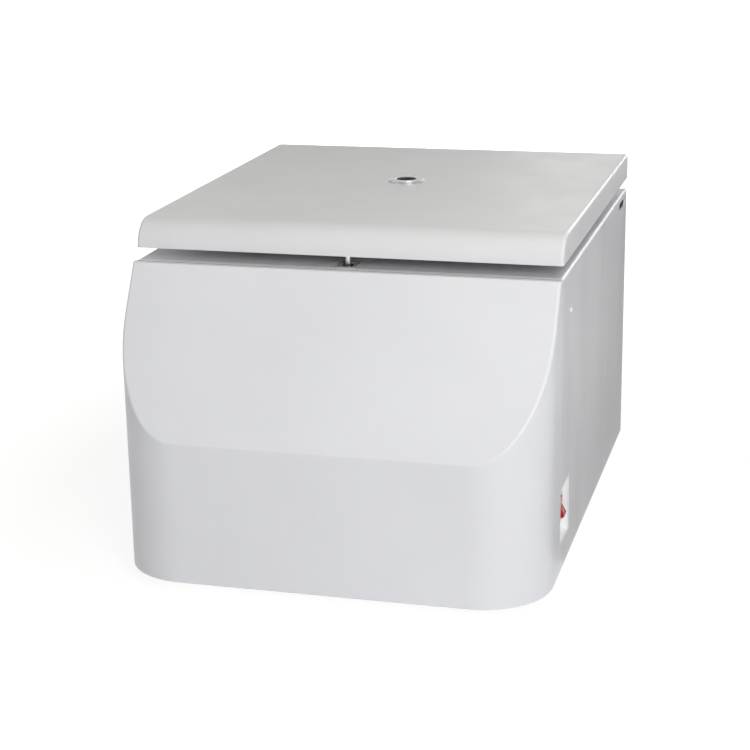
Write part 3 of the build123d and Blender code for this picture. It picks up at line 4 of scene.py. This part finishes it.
import bmesh
import bpy
from mathutils import Matrix, Vector


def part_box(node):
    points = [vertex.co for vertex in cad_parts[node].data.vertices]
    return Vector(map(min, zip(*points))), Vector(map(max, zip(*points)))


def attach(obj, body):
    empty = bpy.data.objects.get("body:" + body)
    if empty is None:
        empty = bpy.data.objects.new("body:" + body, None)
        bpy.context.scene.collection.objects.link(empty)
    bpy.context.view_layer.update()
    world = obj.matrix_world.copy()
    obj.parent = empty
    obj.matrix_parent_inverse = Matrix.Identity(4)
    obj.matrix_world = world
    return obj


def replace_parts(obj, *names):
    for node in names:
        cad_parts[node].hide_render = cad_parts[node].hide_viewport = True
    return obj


# Looks of a benchtop microplate centrifuge, in metres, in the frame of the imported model.

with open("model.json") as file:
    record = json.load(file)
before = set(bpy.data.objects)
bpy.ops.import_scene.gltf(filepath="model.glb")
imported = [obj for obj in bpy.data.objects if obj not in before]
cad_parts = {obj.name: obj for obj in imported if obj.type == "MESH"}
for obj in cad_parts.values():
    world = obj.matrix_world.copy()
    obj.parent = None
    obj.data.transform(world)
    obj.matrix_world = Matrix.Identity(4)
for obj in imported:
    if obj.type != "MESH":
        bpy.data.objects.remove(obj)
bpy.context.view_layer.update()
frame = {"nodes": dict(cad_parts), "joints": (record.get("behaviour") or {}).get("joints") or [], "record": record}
nodes = frame["nodes"]
slot_of = {part["node"]: part["material_slot"] for part in frame["record"]["subparts"]}


# ---- Helpers --------------------------------------------------------------------------------

def place(tree, kind, **settings):
    """New node with its unlinked inputs set by name."""
    node = tree.nodes.new(kind)
    for name, value in settings.items():
        node.inputs[name].default_value = value
    return node


def mapped(tree, value, from_low, from_high, low, high):
    """Value brought from one range to another, and held within it."""
    ramp = tree.nodes.new("ShaderNodeMapRange")
    for socket, end in zip(ramp.inputs[1:5], (from_low, from_high, low, high)):
        socket.default_value = end
    tree.links.new(value, ramp.inputs[0])
    return ramp.outputs[0]


def linked(name, builder):
    """Object in the scene with the mesh of a builder."""
    mesh = bpy.data.meshes.new(name)
    builder.to_mesh(mesh)
    builder.free()
    made = bpy.data.objects.new(name, mesh)
    bpy.context.scene.collection.objects.link(made)
    return made


# ---- Camera ---------------------------------------------------------------------------

picture_size = 750            # pixels, both ways
focal_pixels = 1818.0
camera_place = (0.47735, -1.83516, 0.71786)
camera_yaw = -0.26439         # radians, turned from +Y towards +X
camera_dip = 0.29076          # below the horizon
camera_roll = -0.01609


def add_camera():
    """Camera at the viewing angle of the picture."""
    sight = Vector((
        math.sin(camera_yaw) * math.cos(camera_dip),
        math.cos(camera_yaw) * math.cos(camera_dip),
        -math.sin(camera_dip),
    ))
    level_right = Vector((math.cos(camera_yaw), -math.sin(camera_yaw), 0))
    level_up = level_right.cross(sight)
    right = level_right * math.cos(camera_roll) + level_up * math.sin(camera_roll)
    up = level_up * math.cos(camera_roll) - level_right * math.sin(camera_roll)
    data = bpy.data.cameras.new("camera")
    data.sensor_width = 36
    data.lens = data.sensor_width * focal_pixels / picture_size
    data.clip_end = 60
    camera = bpy.data.objects.new("camera", data)
    axes = Matrix((right, up, -sight)).transposed().to_4x4()
    camera.matrix_world = Matrix.Translation(camera_place) @ axes
    bpy.context.scene.collection.objects.link(camera)
    bpy.context.scene.camera = camera


add_camera()


# ---- Lights, floor and background --------------------------------------------------------

def add_softbox(name, place, target, width, height, power, mirrored=True, colour=(1, 1, 1)):
    """Rectangular area light that faces a point, and that gloss mirrors or not."""
    data = bpy.data.lights.new(name, "AREA")
    data.shape = "RECTANGLE"
    data.size = width
    data.size_y = height
    data.energy = power
    data.color = colour
    light = bpy.data.objects.new(name, data)
    aim = Vector(target) - Vector(place)
    light.location = place
    light.rotation_euler = aim.to_track_quat("-Z", "Y").to_euler()
    light.visible_glossy = mirrored
    bpy.context.scene.collection.objects.link(light)


def seen_factor(tree):
    """1 where a camera, glossy or transmission ray looks, else 0."""
    path = tree.nodes.new("ShaderNodeLightPath")
    first = tree.nodes.new("ShaderNodeMath")
    first.operation = "MAXIMUM"
    second = tree.nodes.new("ShaderNodeMath")
    second.operation = "MAXIMUM"
    tree.links.new(path.outputs["Is Camera Ray"], first.inputs[0])
    tree.links.new(path.outputs["Is Glossy Ray"], first.inputs[1])
    tree.links.new(first.outputs[0], second.inputs[0])
    tree.links.new(path.outputs["Is Transmission Ray"], second.inputs[1])
    return second.outputs[0]


def add_world(ambient):
    """White where it is seen, a plain ambient level where it lights."""
    world = bpy.data.worlds.new("world")
    world.use_nodes = True
    tree = world.node_tree
    tree.nodes.clear()
    output = tree.nodes.new("ShaderNodeOutputWorld")
    mix = tree.nodes.new("ShaderNodeMixShader")
    lighting = tree.nodes.new("ShaderNodeBackground")
    lighting.inputs["Strength"].default_value = ambient
    lighting.inputs["Color"].default_value = (1, 1, 1, 1)
    seen = tree.nodes.new("ShaderNodeBackground")
    seen.inputs["Color"].default_value = (1, 1, 1, 1)
    tree.links.new(seen_factor(tree), mix.inputs["Fac"])
    tree.links.new(lighting.outputs[0], mix.inputs[1])
    tree.links.new(seen.outputs[0], mix.inputs[2])
    tree.links.new(mix.outputs[0], output.inputs["Surface"])
    bpy.context.scene.world = world


def add_floor(radius, near, far, near_glow, far_glow, seen_albedo, albedo):
    """Pale floor: it is seen white apart from the object's shadow, which fades with distance."""
    builder = bmesh.new()
    bmesh.ops.create_circle(builder, cap_ends=True, segments=96, radius=radius)
    floor = linked("floor", builder)
    material = bpy.data.materials.new("floor_paper")
    material.use_nodes = True
    tree = material.node_tree
    tree.nodes.clear()
    output = tree.nodes.new("ShaderNodeOutputMaterial")
    mix = tree.nodes.new("ShaderNodeMixShader")
    paper = tree.nodes.new("ShaderNodeBsdfDiffuse")
    paper.inputs["Color"].default_value = (albedo, albedo, albedo, 1)
    both = tree.nodes.new("ShaderNodeAddShader")
    shown = tree.nodes.new("ShaderNodeBsdfDiffuse")
    shown.inputs["Color"].default_value = (seen_albedo, seen_albedo, seen_albedo, 1)
    glow = tree.nodes.new("ShaderNodeEmission")
    spot = tree.nodes.new("ShaderNodeNewGeometry")
    length = tree.nodes.new("ShaderNodeVectorMath")
    length.operation = "LENGTH"
    tree.links.new(spot.outputs["Position"], length.inputs[0])
    fade = mapped(tree, length.outputs["Value"], near, far, near_glow, far_glow)
    tree.links.new(fade, glow.inputs["Strength"])
    tree.links.new(shown.outputs[0], both.inputs[0])
    tree.links.new(glow.outputs[0], both.inputs[1])
    tree.links.new(seen_factor(tree), mix.inputs["Fac"])
    tree.links.new(paper.outputs[0], mix.inputs[1])
    tree.links.new(both.outputs[0], mix.inputs[2])
    tree.links.new(mix.outputs[0], output.inputs["Surface"])
    floor.data.materials.append(material)


def add_card(name, place, width, height, tilt, grey, glow=0.0):
    """Card that only shows in reflections, dark or glowing, lying flat or tilted up about X."""
    builder = bmesh.new()
    bmesh.ops.create_grid(builder, x_segments=1, y_segments=1, size=0.5)
    bmesh.ops.scale(builder, verts=builder.verts, vec=(width, height, 1))
    bmesh.ops.rotate(builder, verts=builder.verts, matrix=Matrix.Rotation(math.radians(tilt), 3, "X"))
    card = linked(name, builder)
    card.location = place
    material = bpy.data.materials.new(name)
    material.use_nodes = True
    shader = material.node_tree.nodes["Principled BSDF"]
    shader.inputs["Base Color"].default_value = (grey, grey, grey, 1)
    shader.inputs["Emission Color"].default_value = (1, 1, 1, 1)
    shader.inputs["Emission Strength"].default_value = glow
    card.data.materials.append(material)
    for ray in ("camera", "diffuse", "transmission", "shadow", "volume_scatter"):
        setattr(card, "visible_" + ray, False)


bpy.context.scene.view_settings.view_transform = "Standard"
add_world(ambient=0.15)
add_floor(
    radius=14, near=0.4, far=1.0, near_glow=0.83, far_glow=1.0, seen_albedo=0.3, albedo=0.8
)

warm = (1, 0.985, 0.72)
add_softbox("front_right_softbox", (1.3, -2.2, 1.3), (0, -0.2, 0.25), 1.2, 1.2, 31.6)
add_softbox("low_softbox", (1.0, -1.2, 0.3), (0.1, -0.2, 0.15), 0.6, 0.6, 2.0)
add_softbox("left_softbox", (-2.0, -1.6, 0.7), (0, 0, 0.2), 1.2, 0.5, 7.3)
add_softbox("top_softbox", (0.3, -0.45, 2.0), (0.1, -0.1, 0.3), 1.4, 1.0, 5.2, colour=warm)
add_softbox("right_softbox", (0.9, -0.35, 1.6), (0.1, -0.05, 0.33), 0.7, 0.7, 5.6)
add_softbox("rear_softbox", (-0.8, 2.5, 0.35), (0, 0.2, 0.18), 1.4, 0.5, 22, mirrored=False)

flat, upright = 0, 90         # degrees
dark, pale = 0.04, 0.5
floor_lift = 0.003
# dark cards that the right side mirrors
add_card("upright_card", (0.32, 1.2, 0.3), 0.24, 0.6, upright, dark)
add_card("flat_card", (0.33, 0.52, floor_lift), 0.22, 1.3, flat, dark)
add_card("far_card", (0.6, 1.35, floor_lift), 0.7, 1.0, flat, dark)
# grey and glowing cards that the lid, its rounded edges and the chrome mirror
add_card("lid_top_card", (-0.8, 2.6, 1.15), 0.7, 0.42, upright, dark, glow=0.3)
add_card("streak_card", (-0.2, 2.6, 0.8), 0.3, 0.5, upright, pale, glow=1.6)
add_card("lid_side_card", (0.46, 2.35, floor_lift), 0.2, 0.5, flat, pale, glow=2.5)
add_card("edge_card", (0.62, 2.6, 0.62), 0.55, 0.4, upright, pale, glow=14.0)


# ---- Materials -----------------------------------------------------------------------------

def noise(tree, where, scale, detail=3.0):
    """Noise of a scale in cells per metre, around 0.5."""
    texture = place(tree, "ShaderNodeTexNoise", Scale=scale, Detail=detail, Roughness=0.55)
    tree.links.new(where, texture.inputs["Vector"])
    return texture.outputs["Fac"]


def spread(tree, factor, low, high):
    """Maps the noise's useful middle to a range."""
    return mapped(tree, factor, 0.3, 0.7, low, high)


def object_space(tree, stretch=(1, 1, 1)):
    """Coordinates in the frame of the model, stretched for brushed finishes."""
    source = tree.nodes.new("ShaderNodeTexCoord").outputs["Object"]
    if stretch == (1, 1, 1):
        return source
    mapping = place(tree, "ShaderNodeMapping", Scale=stretch)
    tree.links.new(source, mapping.inputs["Vector"])
    return mapping.outputs[0]


def turned_space(tree, centre):
    """Radius and height about an upright axis, for turned and spun parts."""
    source = tree.nodes.new("ShaderNodeTexCoord").outputs["Object"]
    shift = place(tree, "ShaderNodeMapping", Location=(-centre[0], -centre[1], 0))
    tree.links.new(source, shift.inputs["Vector"])
    parts = tree.nodes.new("ShaderNodeSeparateXYZ")
    tree.links.new(shift.outputs[0], parts.inputs[0])
    level = tree.nodes.new("ShaderNodeCombineXYZ")
    tree.links.new(parts.outputs["X"], level.inputs["X"])
    tree.links.new(parts.outputs["Y"], level.inputs["Y"])
    length = tree.nodes.new("ShaderNodeVectorMath")
    length.operation = "LENGTH"
    tree.links.new(level.outputs[0], length.inputs[0])
    profile = tree.nodes.new("ShaderNodeCombineXYZ")
    tree.links.new(length.outputs["Value"], profile.inputs["X"])
    tree.links.new(parts.outputs["Z"], profile.inputs["Y"])
    return profile.outputs[0]


def surface(
    name, colour, roughness, metallic=0.0, shade=0.02, shade_scale=9.0, gloss=0.05,
    gloss_scale=30.0, relief=(), stretch=(1, 1, 1), centre=None, **sockets
):
    """Principled material with uneven shade and gloss, and relief as (scale, depth) pairs."""
    material = bpy.data.materials.new(name)
    material.use_nodes = True
    tree = material.node_tree
    shader = tree.nodes["Principled BSDF"]
    where = turned_space(tree, centre) if centre else object_space(tree, stretch)
    shader.inputs["Metallic"].default_value = metallic
    for socket, value in sockets.items():
        shader.inputs[socket.replace("_", " ")].default_value = value
    mix = tree.nodes.new("ShaderNodeMix")
    mix.data_type = "RGBA"
    darker = tuple(c * (1 - shade) for c in colour)
    lighter = tuple(min(1.0, c * (1 + shade)) for c in colour)
    mix.inputs["A"].default_value = (*darker, 1)
    mix.inputs["B"].default_value = (*lighter, 1)
    tree.links.new(spread(tree, noise(tree, where, shade_scale), 0, 1), mix.inputs["Factor"])
    tree.links.new(mix.outputs["Result"], shader.inputs["Base Color"])
    rough = spread(tree, noise(tree, where, gloss_scale), roughness - gloss, roughness + gloss)
    tree.links.new(rough, shader.inputs["Roughness"])
    normal = None
    for scale, depth in relief:
        bump = place(tree, "ShaderNodeBump", Distance=depth, Strength=1.0)
        tree.links.new(noise(tree, where, scale), bump.inputs["Height"])
        if normal is not None:
            tree.links.new(normal, bump.inputs["Normal"])
        normal = bump.outputs[0]
    if normal is not None:
        tree.links.new(normal, shader.inputs["Normal"])
    return material


spindle = [(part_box("motor_shaft")[0][axis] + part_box("motor_shaft")[1][axis]) / 2 for axis in (0, 1)]
orange_peel = (700, 0.00002)
sheet_waves = (11, 0.0009)
cast_grain = (1500, 0.00002)

finishes = {
    "moulding_paint": surface(
        "moulding_paint", (0.752, 0.757, 0.795), 0.42, relief=[orange_peel]
    ),
    # painted reflection: the side panel's colour mottling (shade 0.05 at 16 cells per metre) stands for the room's
    # mottled reflections in its paint
    "panel_paint": surface(
        "panel_paint", (0.75, 0.75, 0.782), 0.33, shade=0.05, shade_scale=16,
        relief=[sheet_waves, orange_peel], stretch=(1, 1, 0.3), Specular_IOR_Level=0.1
    ),
    "lid_paint": surface(
        "lid_paint", (0.747, 0.745, 0.775), 0.38, relief=[orange_peel], Specular_IOR_Level=0.27
    ),
    "zinc_steel": surface(
        "zinc_steel", (0.60, 0.61, 0.62), 0.42, 1.0, shade=0.12, shade_scale=60, relief=[(200, 0.00002)]
    ),
    "foot_rubber": surface("foot_rubber", (0.035, 0.035, 0.036), 0.72, relief=[(1800, 0.00004)]),
    "bright_steel": surface(
        "bright_steel", (0.68, 0.68, 0.69), 0.24, 1.0, shade=0.05, relief=[(900, 0.000008)]
    ),
    "dark_plastic": surface("dark_plastic", (0.03, 0.03, 0.032), 0.45, relief=[cast_grain]),
    "stainless": surface(
        "stainless", (0.62, 0.62, 0.61), 0.3, 1.0, shade=0.03, centre=spindle, shade_scale=220,
        gloss=0.03, gloss_scale=700, relief=[(1400, 0.000004)]
    ),
    "gasket_rubber": surface("gasket_rubber", (0.028, 0.028, 0.03), 0.66, relief=[(1200, 0.00004)]),
    "guard_steel": surface("guard_steel", (0.16, 0.17, 0.18), 0.5, shade=0.15, relief=[orange_peel]),
    "motor_aluminium": surface(
        "motor_aluminium", (0.60, 0.61, 0.62), 0.38, 1.0, shade=0.06, relief=[(1100, 0.00003)]
    ),
    "motor_iron": surface(
        "motor_iron", (0.16, 0.16, 0.17), 0.45, 0.9, shade=0.2, stretch=(0.02, 0.02, 6),
        relief=[(400, 0.00005)]
    ),
    "latch_paint": surface("latch_paint", (0.36, 0.36, 0.37), 0.5, relief=[orange_peel]),
    "pocket_plastic": surface("pocket_plastic", (0.87, 0.87, 0.88), 0.35, relief=[cast_grain]),
    "switch_plastic": surface("switch_plastic", (0.70, 0.70, 0.70), 0.4, relief=[cast_grain]),
    "pin_brass": surface(
        "pin_brass", (0.72, 0.55, 0.25), 0.26, 1.0, shade=0.06, relief=[(900, 0.00001)]
    ),
    "board_laminate": surface(
        "board_laminate", (0.012, 0.12, 0.045), 0.35, shade=0.35, shade_scale=420, relief=[(420, 0.00004)]
    ),
    "liner_aluminium": surface(
        "liner_aluminium", (0.66, 0.66, 0.67), 0.34, 1.0, shade=0.04, stretch=(0.03, 1, 1),
        relief=[(900, 0.00001)]
    ),
    "window_chrome": surface(
        "window_chrome", (0.50, 0.50, 0.51), 0.2, 1.0, shade=0.05, gloss=0.04, centre=spindle,
        shade_scale=800, gloss_scale=900, relief=[(1500, 0.00001)]
    ),
    "window_glass": surface(
        "window_glass", (0.02, 0.022, 0.024), 0.06, shade=0.2, gloss=0.03, Transmission_Weight=0.25,
        IOR=1.5, Specular_IOR_Level=0.2
    ),
    "rotor_aluminium": surface(
        "rotor_aluminium", (0.30, 0.31, 0.33), 0.36, 1.0, shade=0.05, relief=[(1300, 0.00001)]
    ),
    "carrier_aluminium": surface(
        "carrier_aluminium", (0.62, 0.63, 0.65), 0.34, 1.0, shade=0.05, stretch=(1, 0.03, 1),
        relief=[(900, 0.00001)]
    ),
    "mat_rubber": surface("mat_rubber", (0.05, 0.05, 0.055), 0.8, relief=[(800, 0.0001)]),
    "rocker_red": surface("rocker_red", (0.42, 0.012, 0.02), 0.25, relief=[(900, 0.00001)]),
}

# painted shade: the latch escutcheon's dark grey stands for the lid's shadow over the deck and dims its lit edges;
# the release plug wears the housing's paint
worn_as = {"latch_escutcheon": "latch_paint", "release_plug": "moulding_paint"}
for name, node in nodes.items():
    node.data.materials.clear()
    node.data.materials.append(finishes[worn_as.get(name, slot_of[name])])


# ---- Detail pieces ---------------------------------------------------------------------------

millimetre = 0.001


def extent(name):
    """Lowest and highest corner of a node, in millimetres."""
    return (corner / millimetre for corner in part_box(name))


def finished(name, builder, body, slot):
    """Piece in millimetres made into an object that rides a body, in the finish of a slot."""
    bmesh.ops.recalc_face_normals(builder, faces=builder.faces)
    bmesh.ops.scale(builder, verts=builder.verts, vec=(millimetre,) * 3)
    piece = linked(name, builder)
    piece.data.materials.append(finishes[slot])
    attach(piece, body)
    return piece


def turned(builder, profile, steps=36):
    """Adds a form turned about Z from (radius, height) points and returns its vertices."""
    points = [builder.verts.new((radius, 0, height)) for radius, height in profile]
    edges = [builder.edges.new(pair) for pair in zip(points, points[1:])]
    known = set(builder.verts) - set(points)
    bmesh.ops.spin(
        builder, geom=points + edges, cent=(0, 0, 0), axis=(0, 0, 1), angle=math.tau, steps=steps,
        use_merge=True
    )
    bmesh.ops.remove_doubles(
        builder, verts=[vert for vert in builder.verts if vert not in known], dist=0.0001
    )
    for face in builder.faces:
        face.smooth = True
    return [vert for vert in builder.verts if vert not in known]


def close_between(builder, first, second):
    """Sides and ends of a closed form between two rings with as many vertices."""
    for index in range(len(first)):
        after = (index + 1) % len(first)
        builder.faces.new((first[index], first[after], second[after], second[index]))
    for ring in (first, second):
        builder.faces.new(ring)


def cross_cutter(arm, half_width, top, bottom):
    """Tapered cross that a driver fits, as a mesh object."""
    builder = bmesh.new()
    rings = []
    for height, reach, half in ((top, arm, half_width), (bottom, arm * 0.35, half_width * 0.8)):
        ring = []
        for quarter in range(4):
            turn = Matrix.Rotation(math.radians(90 * quarter), 3, "Z")
            for x, y in ((reach, -half), (reach, half), (half, half)):
                ring.append(builder.verts.new(turn @ Vector((x, y, height))))
        rings.append(ring)
    close_between(builder, *rings)
    bmesh.ops.recalc_face_normals(builder, faces=builder.faces)
    return linked("cross_cutter", builder)


def screw_mesh(radius, rise, shank):
    """Pan-head screw with a cross recess, its head's seat at the origin, in millimetres."""
    builder = bmesh.new()
    turned(builder, [
        (0, rise), (radius * 0.45, rise * 0.97), (radius * 0.78, rise * 0.8), (radius * 0.95, rise * 0.5),
        (radius, rise * 0.2), (radius, 0), (radius * 0.5, 0), (radius * 0.5, -shank * 0.85),
        (radius * 0.35, -shank), (0, -shank),
    ])
    bmesh.ops.recalc_face_normals(builder, faces=builder.faces)
    blank = linked("screw", builder)
    cutter = cross_cutter(
        arm=radius * 0.58, half_width=radius * 0.12, top=rise * 1.2, bottom=rise * 0.15
    )
    cut = blank.modifiers.new("recess", "BOOLEAN")
    cut.operation = "DIFFERENCE"
    cut.solver = "EXACT"
    cut.object = cutter
    bpy.context.view_layer.update()
    made = bpy.data.meshes.new_from_object(blank.evaluated_get(bpy.context.evaluated_depsgraph_get()))
    for spare in (blank, cutter):
        bpy.data.objects.remove(spare)
    return made


def screws(name, source, places, outward, body, slot):
    """Copies of a screw that face one way, each turned differently, as one piece."""
    builder = bmesh.new()
    aim = Vector(outward).to_track_quat("Z", "Y").to_matrix().to_4x4()
    for index, place_of_one in enumerate(places):
        first = len(builder.verts)
        builder.from_mesh(source)
        builder.verts.ensure_lookup_table()
        turn = Matrix.Rotation(1.9 * index + 0.4, 4, "Z")
        bmesh.ops.transform(
            builder, matrix=Matrix.Translation(place_of_one) @ aim @ turn, verts=builder.verts[first:]
        )
    return finished(name, builder, body, slot)


# screws of the rear panel, in place of the plain ones
screw_low, screw_high = extent("panel_screws")
rear_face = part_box("side_panel_right")[1].y / millimetre
rear_radius = 3.5
rear_screw = screw_mesh(rear_radius, rise=screw_high.y - rear_face, shank=rear_face - screw_low.y)
rear_places = [
    (side * (screw_high.x - rear_radius), rear_face, height)
    for side in (-1, 1)
    for height in (
        screw_low.z + rear_radius, (screw_low.z + screw_high.z) / 2, screw_high.z - rear_radius
    )
]
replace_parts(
    screws("rear_screws", rear_screw, rear_places, (0, 1, 0), "housing", "bright_steel"), "panel_screws"
)

# screws through the ears of the fan grille
grille_low, grille_high = extent("fan_grille")
middle = (grille_low + grille_high) / 2
ear_inset = 10
reach = (grille_high.x - grille_low.x) / 2 - ear_inset
grille_places = [
    (middle.x + right * reach, grille_high.y, middle.z + up * reach) for right in (-1, 1) for up in (-1, 1)
]
grille_screw = screw_mesh(radius=2.9, rise=1.6, shank=3.0)
screws("grille_screws", grille_screw, grille_places, (0, 1, 0), "housing", "bright_steel")

# screws that hold the liner in the lid: a row along each side and two at the front
liner_low, liner_high = extent("lid_liner")
liner_sheet = 1.5
liner_face = liner_high.z - liner_sheet
liner_row = 5
row_side_inset = 9
row_end_inset = 12
row_length = liner_high.y - liner_low.y - 2 * row_end_inset
front_reach = 95
front_inset = 10
liner_places = [
    (
        side * (liner_high.x - row_side_inset),
        liner_low.y + row_end_inset + step * row_length / (liner_row - 1),
        liner_face,
    )
    for side in (-1, 1)
    for step in range(liner_row)
]
liner_places += [(side * front_reach, liner_low.y + front_inset, liner_face) for side in (-1, 1)]
liner_screw = screw_mesh(radius=3.0, rise=1.4, shank=1.2)
screws("liner_screws", liner_screw, liner_places, (0, 0, -1), "lid", "bright_steel")

# screws that hold the hinge arms to the lid
arm_low, arm_high = extent("hinge_arms")
arm_sheet = 3
arm_middle_inset = 10
arm_end_inset = 3
arm_half_pitch = 6
arm_places = [
    (side * (arm_high.x - arm_middle_inset + shift), arm_low.y + arm_end_inset, liner_face - arm_sheet)
    for side in (-1, 1)
    for shift in (-arm_half_pitch, arm_half_pitch)
]
arm_screw = screw_mesh(radius=2.3, rise=1.4, shank=2.5)
screws("arm_screws", arm_screw, arm_places, (0, 0, -1), "lid", "bright_steel")

# rubber seal round the glass, in the bore of the bezel
glass_low, glass_high = extent("window_glass")
bezel_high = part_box("window_bezel")[1] / millimetre
glass_radius = (glass_high.x - glass_low.x) / 2
seal_outside = glass_radius + 0.05
seal_seat = glass_high.z + 0.02
builder = bmesh.new()
seal = turned(builder, [
    (seal_outside, seal_seat), (glass_radius - 1.2, seal_seat), (glass_radius - 0.9, glass_high.z + 0.6),
    (glass_radius - 0.35, bezel_high.z - 0.8), (seal_outside, bezel_high.z - 0.7), (seal_outside, seal_seat),
], steps=64)
glass_centre = ((glass_low.x + glass_high.x) / 2, (glass_low.y + glass_high.y) / 2, 0)
bmesh.ops.translate(builder, verts=seal, vec=glass_centre)
finished("window_seal", builder, "lid", "gasket_rubber")

# dark rubber strip in the seam between the front moulding and the deck: a rubber trim whose black also serves as
# painted shade for the seam's shadow line
deck_low, deck_high = extent("deck_plate")
seam_middle = deck_low.y - 0.3
strip_section = [(-0.55, -0.6), (-0.55, 0.0), (-0.3, 0.15), (0.2, 0.15), (0.45, 0.0), (0.45, -0.6)]
builder = bmesh.new()
ends = [
    [builder.verts.new((x, seam_middle + y, deck_high.z + z)) for y, z in strip_section]
    for x in (-deck_high.x, deck_high.x)
]
close_between(builder, *ends)
finished("deck_seam_strip", builder, "housing", "gasket_rubber")

# marks on the rocker: a ring on its pressed end and a bar on its raised end
rocker_joint = next(joint for joint in frame["joints"] if joint["name"] == "power_rocker_tilt")
pivot = Vector(rocker_joint["pos_m"]) / millimetre
rocker_turn = Matrix.Rotation(math.radians(-rocker_joint["range_deg"][1] / 2), 4, "Y")
rocker_dip = 2.8              # the rocker's hollow middle above its pivot
rocker_rise = 5.6             # its ends above the pivot
rocker_half = 11              # half its length
mark_reach = 4.4              # middle of the rocker to the middle of a mark
mark_proud = 0.06
builder = bmesh.new()
ring = turned(
    builder, [(1.3, 0.0), (1.3, mark_proud), (1.75, mark_proud), (1.75, 0.0), (1.3, 0.0)]
)
bar = bmesh.ops.create_cube(builder, size=1)["verts"]
bmesh.ops.scale(builder, verts=bar, vec=(3.0, 0.5, mark_proud))
bmesh.ops.translate(builder, verts=bar, vec=(0, 0, mark_proud / 2))
slope = math.atan2(rocker_rise - rocker_dip, rocker_half)
for mark, reach_up in ((ring, mark_reach), (bar, -mark_reach)):
    lean = math.copysign(slope, reach_up)
    face_turn = Matrix.Rotation(math.radians(90) + lean, 4, "Y")
    spot = Matrix.Translation((rocker_dip + abs(reach_up) * math.tan(slope), 0, reach_up))
    bmesh.ops.transform(
        builder, matrix=Matrix.Translation(pivot) @ rocker_turn @ spot @ face_turn, verts=mark
    )
finished("rocker_marks", builder, "power_rocker", "switch_plastic")
